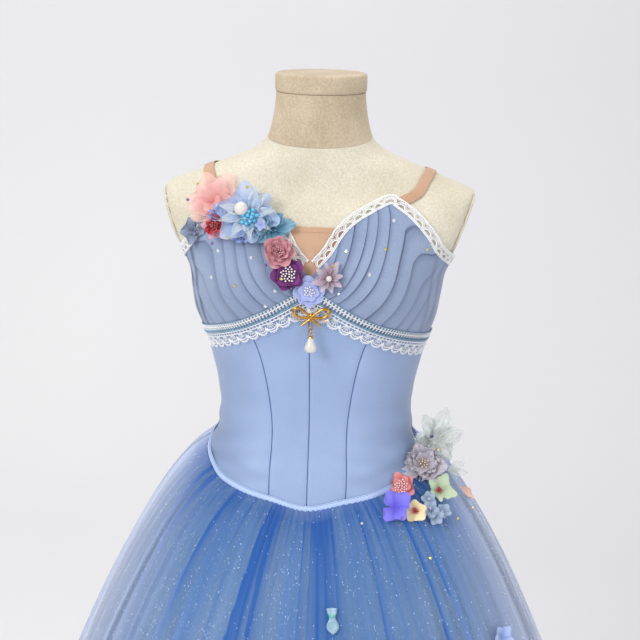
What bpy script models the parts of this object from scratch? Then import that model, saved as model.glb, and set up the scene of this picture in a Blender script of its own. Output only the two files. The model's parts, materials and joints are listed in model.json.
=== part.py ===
"""Ballet dress with a pleated bodice, flower trimmings and a long tulle skirt, on a limbless dress form.

Metres, +Z up. The origin is on the floor, under the pole. The dress faces -Y, and its wearer's left is at +X.
Every piece of cloth lies on one body surface, at its own height above it.
"""

import math
from collections import namedtuple

import bmesh
import bpy
from mathutils import Vector

# Heights above the floor
BASE_HEIGHT = 0.028
FORM_BOTTOM = 0.800
HEM_HEIGHT = 0.360
NECK_SEAM = 1.3635
NECK_SEAM_SLOPE = 0.16
NECK_RIDGE = 1.417
NECK_TOP = 1.440

# The dress form and its stand
BASE_RADIUS = 0.170
BASE_EDGE = 0.010
POLE_RADIUS = 0.016
SEAM_GAP = 0.0003
PLATE_THICKNESS = 0.0035
PLATE_EDGE = 0.0010
CAP_RADIUS = 0.0565
CAP_RIM = 0.004
NECK_SIDES = 24
SMOOTH_BELOW = math.radians(40)

# Cloth, each as a wall from its inner to its outer height above the form
INSERT_WALL = (0.0007, 0.0019)
STRAP_WALL = (0.0013, 0.0023)
BODICE_WALL = (0.0023, 0.0038)
CUP_WALL = (0.0026, 0.0037)
LACE_WALL = (0.0027, 0.0038)
TRIM_WALL = (0.0045, 0.0056)
TULLE_THICKNESS = 0.0013
COVER = 0.0060

# Skirt
HEM_HALF_WIDTH = 0.425
HEM_HALF_DEPTH = 0.412
HEM_SHIFT = Vector((0.0003, -0.0002, 0.0))
FLARE_POWER = 0.68
FOLD_COUNT = 26
HEM_FOLD_HEIGHT = 0.0085

# Seams: the panels stop just above the skirt, and the braid covers the seam below the cups
BODICE_RADIUS = 0.092
PANEL_FOOT = 0.0010
PANEL_MIDDLE_LOW, PANEL_MIDDLE_HIGH = 0.93, 1.15
PLACKET_ANGLES = (176.2, 178.7, 181.3, 183.8)
CUP_OVERLAP = 0.0030
CUP_SEAM = 0.0020

# Trimmings
PLEATS_PER_CUP = 11
PLEAT_HEIGHT = 0.0015
LACE_PITCH = 0.0138
LACE_WIDTH = 0.0125
LACE_FOOT = 0.0011
LACE_ARCH_FOOT = 0.0030
LACE_ARCH = (0.0, 0.0040, 0.0062, 0.0040)
LACE_EDGE = (0.0, 0.0018, 0.0030, 0.0018)
BRAID_WIDTH = 0.012
BRAID_END = 89.5
BRAID_STEP = 0.0125
SCALLOP_PITCH = 0.0155
SCALLOP_TOP = BRAID_WIDTH + 0.0009
SCALLOP_NOTCH = 0.0265
SCALLOP_POINT = 0.0310
BINDING_WIDTH = 0.0075
STRAP_WIDTH = 0.013

# Horizontal sections of the dress form, from its underside to the neck's ridge
Section = namedtuple("Section", "height half_width front back squareness")
SECTIONS = (
    Section(0.790, 0.1520, 0.1000, 0.1080, 2.30),
    Section(0.830, 0.1600, 0.1060, 0.1160, 2.30),
    Section(0.880, 0.1600, 0.1070, 0.1130, 2.30),
    Section(0.920, 0.1500, 0.1030, 0.1040, 2.25),
    Section(0.955, 0.1365, 0.0970, 0.0940, 2.20),
    Section(0.985, 0.1235, 0.0890, 0.0850, 2.20),
    Section(1.015, 0.1195, 0.0850, 0.0810, 2.20),
    Section(1.050, 0.1225, 0.0870, 0.0840, 2.20),
    Section(1.084, 0.1300, 0.0920, 0.0890, 2.20),
    Section(1.113, 0.1375, 0.0980, 0.0940, 2.25),
    Section(1.145, 0.1480, 0.1060, 0.1000, 2.30),
    Section(1.175, 0.1530, 0.1110, 0.1040, 2.30),
    Section(1.200, 0.1570, 0.1110, 0.1060, 2.30),
    Section(1.225, 0.1720, 0.1060, 0.1060, 2.30),
    Section(1.250, 0.1940, 0.0980, 0.1020, 2.30),
    Section(1.275, 0.2040, 0.0860, 0.0930, 2.30),
    Section(1.290, 0.2030, 0.0750, 0.0820, 2.30),
    Section(1.299, 0.1940, 0.0680, 0.0750, 2.30),
    Section(1.309, 0.1710, 0.0630, 0.0700, 2.30),
    Section(1.320, 0.1440, 0.0600, 0.0670, 2.25),
    Section(1.331, 0.1160, 0.0590, 0.0650, 2.20),
    Section(1.344, 0.0860, 0.0580, 0.0630, 2.10),
    Section(1.358, 0.0680, 0.0570, 0.0600, 2.00),
    Section(1.375, 0.0610, 0.0550, 0.0560, 2.00),
    Section(1.400, 0.0565, 0.0540, 0.0540, 2.00),
    Section(1.424, 0.0545, 0.0535, 0.0535, 2.00),
)

# Heights of the torso's rings, closer together at the waist and over the shoulders
FORM_SIDES = 28
FORM_RING_HEIGHTS = (FORM_BOTTOM, 0.850, 0.910, 0.955, 0.985, 1.015, 1.050, 1.100, 1.150, 1.190, 1.207, 1.225,
                     1.250, 1.275, 1.290, 1.300, 1.310, 1.320, 1.331, 1.342)

# The flat arm plates lean: their plane is ARM_PLANE_X from the middle at ARM_PLANE_TOP
ARM_PLANE_X = 0.1915
ARM_PLANE_TOP = 1.298
ARM_PLANE_SLOPE = 0.37
ARM_PLATE_BOTTOM = 1.215
ARM_OVAL_BOTTOM, ARM_OVAL_TOP = 1.223, 1.2965
ARM_OVAL_INSET = 0.0015

# The bust, a smooth bump on each side
BUST_ANGLE = math.radians(37)
BUST_ANGLE_SPREAD = math.radians(21)
BUST_HEIGHT = 1.188
BUST_HEIGHT_SPREAD = 0.047
BUST_DEPTH = 0.019

# Lines round the body: the angle from the centre front in degrees, and the height
LinePoint = namedtuple("LinePoint", "angle height")
BASQUE_LINE = (
    LinePoint(0, 0.9075), LinePoint(24, 0.9165), LinePoint(41, 0.9230), LinePoint(58, 0.9335),
    LinePoint(68, 0.9450), LinePoint(90, 0.9640), LinePoint(120, 0.9720), LinePoint(180, 0.9730),
)
UNDERBUST_LINE = (
    LinePoint(0, 1.1930), LinePoint(10, 1.1865), LinePoint(25, 1.1680), LinePoint(43, 1.1490),
    LinePoint(74, 1.1285), LinePoint(92, 1.1250), LinePoint(180, 1.1250),
)
NECKLINE = (
    LinePoint(0, 1.2060), LinePoint(13, 1.2320), LinePoint(22, 1.2550), LinePoint(31, 1.2690),
    LinePoint(42, 1.2800), LinePoint(53, 1.2900), LinePoint(57, 1.2740), LinePoint(60, 1.2560),
    LinePoint(64, 1.2360), LinePoint(75, 1.2180), LinePoint(90, 1.2080), LinePoint(180, 1.1950),
)
PRINCESS_SEAM_TOP = 36.0
PRINCESS_SEAM_BOTTOM = 25.5
SIDE_SEAM = 90.0
BACK_EDGE = 179.4
LACE_START, LACE_END = 7.5, 89.0

# How far up a panel each of its rows lies: two close rows under the binding, the rest nearly even
PANEL_ROWS = (0.0, 0.035, 0.14, 0.27, 0.40, 0.54, 0.69, 0.85, 1.0)
PRINCESS_SEAM_LOW, PRINCESS_SEAM_HIGH = 0.92, 1.14
INSERT_SIDE = 21.0
INSERT_TOP = 1.2640
INSERT_TUCK = 0.006

STRAP_ROUTE = (
    LinePoint(57.5, 1.2925), LinePoint(64, 1.3010), LinePoint(72, 1.3150), LinePoint(81, 1.3215),
    LinePoint(90, 1.3223), LinePoint(99, 1.3205), LinePoint(108, 1.3140), LinePoint(117, 1.2950),
    LinePoint(126, 1.2730), LinePoint(136, 1.2450), LinePoint(144, 1.2050),
)

# A flower: its middle on the cover surface, its radius, its number of petals and how far it is raised
Flower = namedtuple("Flower", "name angle height radius petals rise colour")
BODICE_FLOWERS = (
    Flower("coral_organza_flower", -62.0, 1.2850, 0.0340, 6, 0.0011, (0.86, 0.52, 0.52)),
    Flower("blue_organza_flower", -38.0, 1.2700, 0.0400, 6, 0.0039, (0.62, 0.74, 0.88)),
    Flower("turquoise_ruffle", -19.5, 1.2620, 0.0160, 5, -0.0005, (0.30, 0.58, 0.70)),
    Flower("crimson_flower", -54.0, 1.2590, 0.0140, 5, 0.0081, (0.74, 0.14, 0.24)),
    Flower("grey_blue_petals", -64.5, 1.2360, 0.0110, 4, -0.0009, (0.42, 0.48, 0.60)),
    Flower("dusty_rose_flower", -18.0, 1.2370, 0.0205, 6, 0.0074, (0.70, 0.36, 0.42)),
    Flower("purple_flower", -11.8, 1.2110, 0.0185, 5, 0.0000, (0.32, 0.10, 0.36)),
    Flower("periwinkle_flower", 0.3, 1.1930, 0.0165, 6, 0.0035, (0.62, 0.68, 0.90)),
    Flower("mauve_flower", 12.2, 1.2095, 0.0165, 6, 0.0000, (0.72, 0.64, 0.72)),
)
HIP_FLOWERS = (
    Flower("ivory_organza_flower", 90.0, 0.9740, 0.0320, 6, 0.0010, (0.84, 0.84, 0.80)),
    Flower("grey_ruffle_flower", 77.0, 0.9500, 0.0290, 7, 0.0047, (0.56, 0.55, 0.60)),
    Flower("coral_rose", 57.5, 0.9370, 0.0180, 5, 0.0010, (0.84, 0.44, 0.44)),
    Flower("violet_flower", 48.0, 0.9140, 0.0190, 4, 0.0017, (0.36, 0.34, 0.84)),
    Flower("cream_flower", 54.5, 0.9080, 0.0140, 5, 0.0056, (0.86, 0.76, 0.56)),
    Flower("pale_blue_flower", 64.0, 0.9100, 0.0165, 5, 0.0014, (0.56, 0.66, 0.78)),
    Flower("green_flower", 70.0, 0.9200, 0.0200, 5, 0.0058, (0.64, 0.76, 0.60)),
)
SKIRT_FLOWER = Flower("skirt_flower", 66.2, 0.7556, 0.0150, 5, 0.0023, (0.40, 0.52, 0.84))
FLOWER_THICKNESS = 0.0045
HIP_FACING = Vector((0.80, -0.36, 0.48)).normalized()

PEARL_BEAD_RADIUS = 0.0078
PEARL_BEAD_PLACE = LinePoint(-46.0, 1.2800)
PEARL_BEAD_RISE = 0.0158
CRYSTAL_PLACE = LinePoint(11.8, 0.8087)
CRYSTAL_RISE = 0.0050
CRYSTAL_HEIGHT = 0.032
CRYSTAL_HALF_WIDTH = 0.0078

# Brooch: a flat bow, a link that hangs in its eyelet, and a pearl that hangs in the link
BOW_CENTRE = Vector((0.0035, -0.1224, 1.1622))
BOW_HALF_HEIGHT = 0.0125
BOW_THICKNESS = 0.0030
WIRE_RADIUS = 0.0006
EYELET_RADIUS = 0.0022
LINK_RADIUS = 0.0030
LINK_WIRE_RADIUS = 0.0007
WIRE_GAP = 0.0001
EYELET_Z = BOW_CENTRE.z - BOW_HALF_HEIGHT - 0.0020
PEARL_LENGTH = 0.0205
PEARL_RADIUS = 0.0073

DRESS = bpy.data.collections.new("ballet_dress_on_form")


def clear_scene():
    """Remove what a new file starts with."""
    for item in list(bpy.data.objects):
        bpy.data.objects.remove(item, do_unlink=True)
    bpy.context.scene.collection.children.link(DRESS)


def make_material(name, colour, roughness=0.8, metallic=0.0):
    """A plain Principled material for one kind of piece."""
    material = bpy.data.materials.get(name)
    if material is None:
        material = bpy.data.materials.new(name)
        material.use_nodes = True
        shader = material.node_tree.nodes["Principled BSDF"]
        shader.inputs["Base Color"].default_value = (*colour, 1.0)
        shader.inputs["Roughness"].default_value = roughness
        shader.inputs["Metallic"].default_value = metallic
    return material


def add_object(name, mesh, material):
    """Put a mesh into the dress's collection under its piece's name."""
    piece = bpy.data.objects.new(name, mesh)
    DRESS.objects.link(piece)
    mesh.materials.clear()
    mesh.materials.append(material)
    return piece


# The body's surface


def section_at(height):
    """Half width, front depth, back depth and squareness at a height, smooth between the sections."""
    height = min(max(height, SECTIONS[0].height), SECTIONS[-1].height)
    last = len(SECTIONS) - 1
    lower = max(i for i in range(last) if SECTIONS[i].height <= height)
    a, b = SECTIONS[lower], SECTIONS[lower + 1]
    before, after = SECTIONS[max(lower - 1, 0)], SECTIONS[min(lower + 2, last)]
    span = b.height - a.height
    s = (height - a.height) / span
    values = []
    for k in range(1, 5):
        slope_a = (b[k] - before[k]) / (b.height - before.height)
        slope_b = (after[k] - a[k]) / (after.height - a.height)
        values.append(
            (2 * s**3 - 3 * s**2 + 1) * a[k]
            + (s**3 - 2 * s**2 + s) * span * slope_a
            + (3 * s**2 - 2 * s**3) * b[k]
            + (s**3 - s**2) * span * slope_b
        )
    return values


def body_radius(angle, height):
    """Distance from the pole's axis to the dress form; angle 0 is the centre front."""
    half_width, front, back, power = section_at(height)
    side, depth = math.sin(angle), math.cos(angle)
    reach = front if depth > 0 else back
    radius = (abs(side / half_width) ** power + abs(depth / reach) ** power) ** (-1 / power)
    from_front = abs((angle + math.pi) % (2 * math.pi) - math.pi)
    across = (from_front - BUST_ANGLE) / BUST_ANGLE_SPREAD
    along = (height - BUST_HEIGHT) / BUST_HEIGHT_SPREAD
    return radius + BUST_DEPTH * math.exp(-across * across - along * along)


def polar(angle, radius, height):
    return Vector((radius * math.sin(angle), -radius * math.cos(angle), height))


def surface_normal(surface, angle, height):
    """Outward normal of a surface given as a function of angle and height."""
    step_angle, step_height = 0.01, 0.0015
    along = surface(angle + step_angle, height) - surface(angle - step_angle, height)
    up = surface(angle, height + step_height) - surface(angle, height - step_height)
    return along.cross(up).normalized()


def body_surface(angle, height):
    return polar(angle, body_radius(angle, height), height)


def on_body(angle_degrees, height, rise):
    """A point at a height above the floor, raised from the dress form along its normal."""
    angle = math.radians(angle_degrees)
    return body_surface(angle, height) + surface_normal(body_surface, angle, height) * rise


def arm_limit(height):
    """How far out the leaning plane of the arm plate lies at a height."""
    return ARM_PLANE_X - ARM_PLANE_SLOPE * (ARM_PLANE_TOP - height)


def line_height(line, angle_degrees):
    """Height of a line round the body, the same on both sides."""
    angle = abs((angle_degrees + 180) % 360 - 180)
    for a, b in zip(line, line[1:]):
        if angle <= b.angle:
            share = (angle - a.angle) / (b.angle - a.angle)
            return a.height + (b.height - a.height) * share
    return line[-1].height


# Walls of cloth from a grid of outer points and a grid of inner points


def wall_mesh(name, outer, inner, ring=False, holes=()):
    """A closed wall between two grids of rows; cells named in holes are cut through.

    Both grids are split along the same diagonals, so the wall keeps its thickness inside each cell.
    """
    rows, columns = len(outer), len(outer[0])
    points = [tuple(p) for row in outer for p in row] + [tuple(p) for row in inner for p in row]
    shift = rows * columns
    faces = []
    for i in range(rows - 1):
        for j in range(columns if ring else columns - 1):
            if (i, j) in holes:
                continue
            k = (j + 1) % columns
            a, b, c, d = i * columns + j, i * columns + k, (i + 1) * columns + k, (i + 1) * columns + j
            faces += [(a, b, c), (a, c, d)]
    edges = {(face[n], face[(n + 1) % 3]) for face in faces for n in range(3)}
    rims = [(b, a, a + shift, b + shift) for a, b in edges if (b, a) not in edges]
    backs = [tuple(p + shift for p in reversed(face)) for face in faces]
    mesh = bpy.data.meshes.new(name)
    mesh.from_pydata(points, [], faces + backs + sorted(rims))
    tidy_mesh(mesh)
    return mesh


def tidy_mesh(mesh):
    """Turn every face outwards and drop points that no face uses."""
    shape = bmesh.new()
    shape.from_mesh(mesh)
    loose = [v for v in shape.verts if not v.link_faces]
    bmesh.ops.delete(shape, geom=loose, context="VERTS")
    bmesh.ops.recalc_face_normals(shape, faces=shape.faces)
    shape.to_mesh(mesh)
    shape.free()
    mesh.shade_smooth()
    mesh.set_sharp_from_angle(angle=SMOOTH_BELOW)


def closed_rings(name, rings):
    """A solid through rings of points, closed by a flat cap at each end."""
    count = len(rings[0])
    points = [tuple(p) for ring in rings for p in ring]
    faces = [tuple(reversed(range(count))), tuple(range((len(rings) - 1) * count, len(rings) * count))]
    for i in range(len(rings) - 1):
        for j in range(count):
            k = (j + 1) % count
            faces.append((i * count + j, i * count + k, (i + 1) * count + k, (i + 1) * count + j))
    mesh = bpy.data.meshes.new(name)
    mesh.from_pydata(points, [], faces)
    tidy_mesh(mesh)
    return mesh


# Dress form and stand


def ring_angles(count):
    return [2 * math.pi * i / count for i in range(count)]


def neck_seam(angle):
    """The neck is sewn on along a level cut that leans forward: it is lowest at the centre front."""
    height = NECK_SEAM
    for _ in range(6):
        height = NECK_SEAM - NECK_SEAM_SLOPE * math.cos(angle) * body_radius(angle, height)
    return height


def form_torso(material):
    rings = []
    for height in FORM_RING_HEIGHTS:
        ring = []
        for angle in ring_angles(FORM_SIDES):
            point = body_surface(angle, height)
            if height > ARM_PLATE_BOTTOM:
                limit = arm_limit(height)
                point.x = min(max(point.x, -limit), limit)
            ring.append(point)
        rings.append(ring)
    rings.append([body_surface(a, neck_seam(a) - SEAM_GAP) for a in ring_angles(FORM_SIDES)])
    add_object("form_torso", closed_rings("form_torso", rings), material)


def form_neck(material):
    rings = [[body_surface(a, neck_seam(a)) for a in ring_angles(NECK_SIDES)]]
    for height in (1.385, 1.40, NECK_RIDGE - SEAM_GAP):
        rings.append([body_surface(a, height) for a in ring_angles(NECK_SIDES)])
    add_object("form_neck", closed_rings("form_neck", rings), material)


def neck_cap(material):
    """The neck ends in a plate that is a little wider than the neck, with a rounded rim."""
    shoulder = 0.3 * CAP_RIM
    profile = ((CAP_RADIUS - shoulder, NECK_RIDGE), (CAP_RADIUS, NECK_RIDGE + CAP_RIM),
               (CAP_RADIUS, NECK_TOP - CAP_RIM), (CAP_RADIUS - shoulder, NECK_TOP - shoulder),
               (CAP_RADIUS - CAP_RIM, NECK_TOP))
    rings = [[polar(a, radius, z) for a in ring_angles(NECK_SIDES)] for radius, z in profile]
    add_object("neck_cap", closed_rings("neck_cap", rings), material)


def arm_plate_outline():
    """Points of the leaning oval where the arm plate closes the shoulder, on the +X side."""
    halves = []
    steps = 9
    for side in (1, -1):
        half = []
        for i in range(steps):
            share = 0.5 - 0.5 * math.cos(math.pi * (i + 0.5) / steps)
            height = ARM_OVAL_BOTTOM + (ARM_OVAL_TOP - ARM_OVAL_BOTTOM) * share
            limit = arm_limit(height)
            depth = depth_at(limit, height, side) - ARM_OVAL_INSET
            half.append(Vector((limit, -side * depth, height)))
        halves.append(half)
    front, back = halves
    return front[::-1] + back


def depth_at(offset, height, side):
    """How far forward (side 1) or back (side -1) the form reaches at a sideways offset."""
    low, high = 0.0, 0.14
    for _ in range(40):
        middle = (low + high) / 2
        angle = math.atan2(offset, side * middle)
        if body_radius(angle, height) > math.hypot(offset, middle):
            low = middle
        else:
            high = middle
    return low


def arm_plate(side, material):
    """A thin cover over the flat end of the shoulder, on the form's leaning plane."""
    name = "arm_plate_left" if side > 0 else "arm_plate_right"
    outward = Vector((1.0, 0.0, -ARM_PLANE_SLOPE)).normalized()
    rings = []
    outline = arm_plate_outline()
    middle = sum(outline, Vector()) / len(outline)
    for rise, size in ((SEAM_GAP, 0.985), (PLATE_THICKNESS - PLATE_EDGE, 0.985), (PLATE_THICKNESS, 0.955)):
        ring = [middle + (p - middle) * size + outward * rise for p in outline]
        rings.append([Vector((side * p.x, p.y, p.z)) for p in ring])
    add_object(name, closed_rings(name, rings), material)


def stand(metal):
    """A pole from the base to the form's underside, and a round base with a rounded upper edge."""
    low, high = BASE_HEIGHT + SEAM_GAP, FORM_BOTTOM - SEAM_GAP
    bpy.ops.mesh.primitive_cylinder_add(vertices=20, radius=POLE_RADIUS, depth=high - low,
                                        location=(0, 0, (low + high) / 2))
    finish_primitive("stand_pole", metal)
    bpy.ops.mesh.primitive_cylinder_add(vertices=36, radius=BASE_RADIUS, depth=BASE_HEIGHT,
                                        location=(0, 0, BASE_HEIGHT / 2))
    base = finish_primitive("stand_base", metal)
    shape = bmesh.new()
    shape.from_mesh(base.data)
    rim = [e for e in shape.edges if all(v.co.z > 0 for v in e.verts) and len(e.link_faces) == 2]
    rim = [e for e in rim if abs(e.verts[0].co.z - e.verts[1].co.z) < 1e-6]
    bmesh.ops.bevel(shape, geom=rim, offset=BASE_EDGE, segments=2, affect="EDGES", profile=0.5)
    shape.to_mesh(base.data)
    shape.free()
    base.data.shade_smooth()
    base.data.set_sharp_from_angle(angle=SMOOTH_BELOW)


def finish_primitive(name, material):
    """Name the primitive just added and move it into the dress's collection."""
    piece = bpy.context.object
    piece.name = name
    piece.data.name = name
    for holder in list(piece.users_collection):
        holder.objects.unlink(piece)
    DRESS.objects.link(piece)
    piece.data.materials.clear()
    piece.data.materials.append(material)
    piece.data.shade_smooth()
    piece.data.set_sharp_from_angle(angle=SMOOTH_BELOW)
    return piece


# Bodice


def princess_seam(height):
    """The seam runs in towards the waist and the basque point."""
    share = (height - PRINCESS_SEAM_LOW) / (PRINCESS_SEAM_HIGH - PRINCESS_SEAM_LOW)
    return PRINCESS_SEAM_BOTTOM + (PRINCESS_SEAM_TOP - PRINCESS_SEAM_BOTTOM) * share


def seam_half_gap():
    """Half a seam's gap, in degrees at the bodice's usual radius."""
    return math.degrees(SEAM_GAP / 2 / BODICE_RADIUS)


def body_panel(name, side, near_edge, far_edge, bottom_line, top_line, columns, material):
    """A panel between two seams, which are functions of height, and two lines round the body."""
    outer, inner = [], []
    gap = seam_half_gap()
    for share in PANEL_ROWS:
        guess = PANEL_MIDDLE_LOW + (PANEL_MIDDLE_HIGH - PANEL_MIDDLE_LOW) * share
        outer_row, inner_row = [], []
        for j in range(columns):
            across = j / (columns - 1)
            angle = near_edge(guess) + gap + (far_edge(guess) - near_edge(guess) - 2 * gap) * across
            low, high = bottom_line(angle), top_line(angle)
            height = low + (high - low) * share
            angle = near_edge(height) + gap + (far_edge(height) - near_edge(height) - 2 * gap) * across
            outer_row.append(on_body(side * angle, height, BODICE_WALL[1]))
            inner_row.append(on_body(side * angle, height, BODICE_WALL[0]))
        outer.append(outer_row)
        inner.append(inner_row)
    add_object(name, wall_mesh(name, outer, inner), material)


def bodice_panels(satin):
    def below(angle):
        return line_height(BASQUE_LINE, angle) + PANEL_FOOT

    def under_cup(angle):
        return line_height(UNDERBUST_LINE, angle) - CUP_OVERLAP - CUP_SEAM

    def back_top(angle):
        return line_height(NECKLINE, angle)

    def centre(height):
        return 0.0

    def side_seam(height):
        return SIDE_SEAM

    def back_edge(height):
        return BACK_EDGE

    for side, word in ((1, "left"), (-1, "right")):
        body_panel("bodice_front_" + word, side, centre, princess_seam, below, under_cup, 4, satin)
        body_panel("bodice_side_" + word, side, princess_seam, side_seam, below, under_cup, 7, satin)
        body_panel("bodice_back_" + word, side, side_seam, back_edge, below, back_top, 9, satin)


def back_placket(satin):
    """A narrow strip that covers the hooks at the centre back."""
    outer, inner = [], []
    low = line_height(BASQUE_LINE, 180) + PANEL_FOOT
    high = line_height(NECKLINE, 180)
    for share in PANEL_ROWS[2:]:
        height = low + (high - low) * share
        outer.append([on_body(a, height, TRIM_WALL[1]) for a in PLACKET_ANGLES])
        inner.append([on_body(a, height, TRIM_WALL[0]) for a in PLACKET_ANGLES])
    add_object("back_placket", wall_mesh("back_placket", outer, inner), satin)


def cup(side, chiffon):
    """Slanting knife pleats, raised in the outer points; they lean in towards the centre at the bottom."""
    name = "cup_left" if side > 0 else "cup_right"
    columns = PLEATS_PER_CUP * 3 + 1
    rows = 5
    profile = (0.05, 0.62, 1.0)
    outer, inner = [], []
    for i in range(rows):
        share = i / (rows - 1)
        outer_row, inner_row = [], []
        for j in range(columns):
            across = j / (columns - 1)
            bottom = 0.2 + (SIDE_SEAM - 0.4) * across**1.25
            top = 0.2 + (SIDE_SEAM - 0.4) * across**0.80
            angle = bottom + (top - bottom) * share
            low = line_height(UNDERBUST_LINE, angle) - CUP_OVERLAP
            high = line_height(NECKLINE, angle)
            height = low + (high - low) * share
            fade = min(1.0, 0.1 + 3.0 * min(share, 1 - share))
            pleat = PLEAT_HEIGHT * profile[j % 3] * fade if 0 < j < columns - 1 else 0.0
            outer_row.append(on_body(side * angle, height, CUP_WALL[1] + pleat))
            inner_row.append(on_body(side * angle, height, CUP_WALL[0]))
        outer.append(outer_row)
        inner.append(inner_row)
    add_object(name, wall_mesh(name, outer, inner), chiffon)


def neckline_insert(skin_cloth):
    """The V between the cups; its edges are tucked under the cups."""
    outer, inner = [], []
    rows, columns = 5, 13
    for i in range(rows):
        share = i / (rows - 1)
        outer_row, inner_row = [], []
        for j in range(columns):
            angle = -INSERT_SIDE + 2 * INSERT_SIDE * j / (columns - 1)
            low = line_height(NECKLINE, angle) - INSERT_TUCK
            height = low + (INSERT_TOP - low) * share
            outer_row.append(on_body(angle, height, INSERT_WALL[1]))
            inner_row.append(on_body(angle, height, INSERT_WALL[0]))
        outer.append(outer_row)
        inner.append(inner_row)
    add_object("neckline_insert", wall_mesh("neckline_insert", outer, inner), skin_cloth)


def strip_along(side, route, offsets, wall):
    """Rows of points beside a route on the body, at distances from it across the surface."""
    middle = [on_body(side * p.angle, p.height, 0.0) for p in route]
    outer, inner = [[] for _ in offsets], [[] for _ in offsets]
    for k, point in enumerate(route):
        before, after = middle[max(k - 1, 0)], middle[min(k + 1, len(middle) - 1)]
        angle = math.radians(side * point.angle)
        normal = surface_normal(body_surface, angle, point.height)
        along = (after - before).normalized()
        across = normal.cross(along).normalized() * side
        for row, offset in enumerate(offsets):
            distance = offset(k) if callable(offset) else offset
            outer[row].append(middle[k] + across * distance + normal * wall[1])
            inner[row].append(middle[k] + across * distance + normal * wall[0])
    return outer, inner


def strap(side, skin_cloth):
    name = "strap_left" if side > 0 else "strap_right"
    half = STRAP_WIDTH / 2
    outer, inner = strip_along(side, STRAP_ROUTE, (-half, 0.0, half), STRAP_WALL)
    add_object(name, wall_mesh(name, outer, inner), skin_cloth)


def binding(satin):
    """The pale band that covers the seam between bodice and skirt."""
    outer, inner = [[], []], [[], []]
    columns = 48
    for j in range(columns):
        angle = 360 * j / columns
        low = line_height(BASQUE_LINE, angle)
        for row, height in enumerate((low, low + BINDING_WIDTH)):
            outer[row].append(on_body(angle, height, TRIM_WALL[1] + 0.0004))
            inner[row].append(on_body(angle, height, TRIM_WALL[0]))
    add_object("basque_binding", wall_mesh("basque_binding", outer, inner, ring=True), satin)


# Braid and laces


def walk_line(line, start, end, pitch, height_shift=0.0):
    """Points along a line round the body, evenly spaced by their distance on the surface."""
    fine = [LinePoint(start + (end - start) * i / 400, 0.0) for i in range(401)]
    fine = [LinePoint(p.angle, line_height(line, p.angle) + height_shift) for p in fine]
    places = [on_body(p.angle, p.height, 0.0) for p in fine]
    lengths = [0.0]
    for a, b in zip(places, places[1:]):
        lengths.append(lengths[-1] + (b - a).length)
    count = max(2, round(lengths[-1] / pitch) + 1)
    route = []
    for k in range(count):
        target = lengths[-1] * k / (count - 1)
        i = min(max(n for n in range(401) if lengths[n] <= target + 1e-9), 399)
        share = (target - lengths[i]) / (lengths[i + 1] - lengths[i])
        angle = fine[i].angle + (fine[i + 1].angle - fine[i].angle) * min(share, 1.0)
        route.append(LinePoint(angle, line_height(line, angle) + height_shift))
    return route


def underbust_braid(thread):
    route = walk_line(UNDERBUST_LINE, -BRAID_END, BRAID_END, BRAID_STEP)
    rows = ([], [])
    inner = ([], [])
    for point in route:
        for row, drop in enumerate((BRAID_WIDTH, 0.0)):
            rows[row].append(on_body(point.angle, point.height - drop, TRIM_WALL[1] + 0.0002))
            inner[row].append(on_body(point.angle, point.height - drop, TRIM_WALL[0] + 0.0002))
    add_object("underbust_braid", wall_mesh("underbust_braid", rows, inner), thread)


def underbust_lace(thread):
    """Lace below the braid, with a scalloped lower edge."""
    per_scallop = 3
    route = walk_line(UNDERBUST_LINE, -BRAID_END, BRAID_END, SCALLOP_PITCH / per_scallop)
    outer, inner = ([], []), ([], [])
    for k, point in enumerate(route):
        depth = SCALLOP_NOTCH if k % per_scallop == 0 else SCALLOP_POINT
        for row, drop in enumerate((depth, SCALLOP_TOP)):
            outer[row].append(on_body(point.angle, point.height - drop, TRIM_WALL[1] - 0.0001))
            inner[row].append(on_body(point.angle, point.height - drop, TRIM_WALL[0]))
    add_object("underbust_lace", wall_mesh("underbust_lace", outer, inner), thread)


def neckline_lace(side, thread):
    """Edging lace that stands out from the cup's upper edge, an arch cut through in each repeat."""
    name = "neckline_lace_left" if side > 0 else "neckline_lace_right"
    per_arch = len(LACE_ARCH)
    route = walk_line(NECKLINE, LACE_START, LACE_END, LACE_PITCH / per_arch)
    offsets = (
        LACE_FOOT,
        LACE_ARCH_FOOT,
        lambda k: LACE_ARCH_FOOT + LACE_FOOT + LACE_ARCH[k % per_arch],
        lambda k: LACE_WIDTH - LACE_EDGE[2] + LACE_EDGE[k % per_arch],
    )
    outer, inner = strip_along(side, route, offsets, LACE_WALL)
    holes = {(1, k) for k in range(len(route) - 1) if k % per_arch in (1, 2) and k < len(route) - 3}
    add_object(name, wall_mesh(name, outer, inner, holes=holes), thread)


# Skirt


def skirt_surface(angle, share):
    """The skirt without its folds: share 0 is the basque seam and share 1 is the hem."""
    top = line_height(BASQUE_LINE, math.degrees(angle)) - 0.0005
    top_radius = body_radius(angle, top) + COVER
    hem = ((math.sin(angle) / HEM_HALF_WIDTH) ** 2 + (math.cos(angle) / HEM_HALF_DEPTH) ** 2) ** -0.5
    radius = top_radius + (hem - top_radius) * share**FLARE_POWER
    return polar(angle, radius, top + (HEM_HEIGHT - top) * share) + HEM_SHIFT * share


def skirt_normal(angle, share):
    along = skirt_surface(angle + 0.02, share) - skirt_surface(angle - 0.02, share)
    down = skirt_surface(angle, min(share + 0.01, 1.0)) - skirt_surface(angle, max(share - 0.01, 0.0))
    return down.cross(along).normalized()


def fold_height(fold, shape, share):
    """Raised folds, taller towards the hem and uneven from one to the next."""
    uneven = 1.0 + 0.28 * math.sin(fold * 2.4) + 0.16 * math.sin(fold * 5.1 + 1.0)
    top_height = 0.0006
    return shape * (top_height + (HEM_FOLD_HEIGHT * uneven - top_height) * share**0.8)


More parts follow.
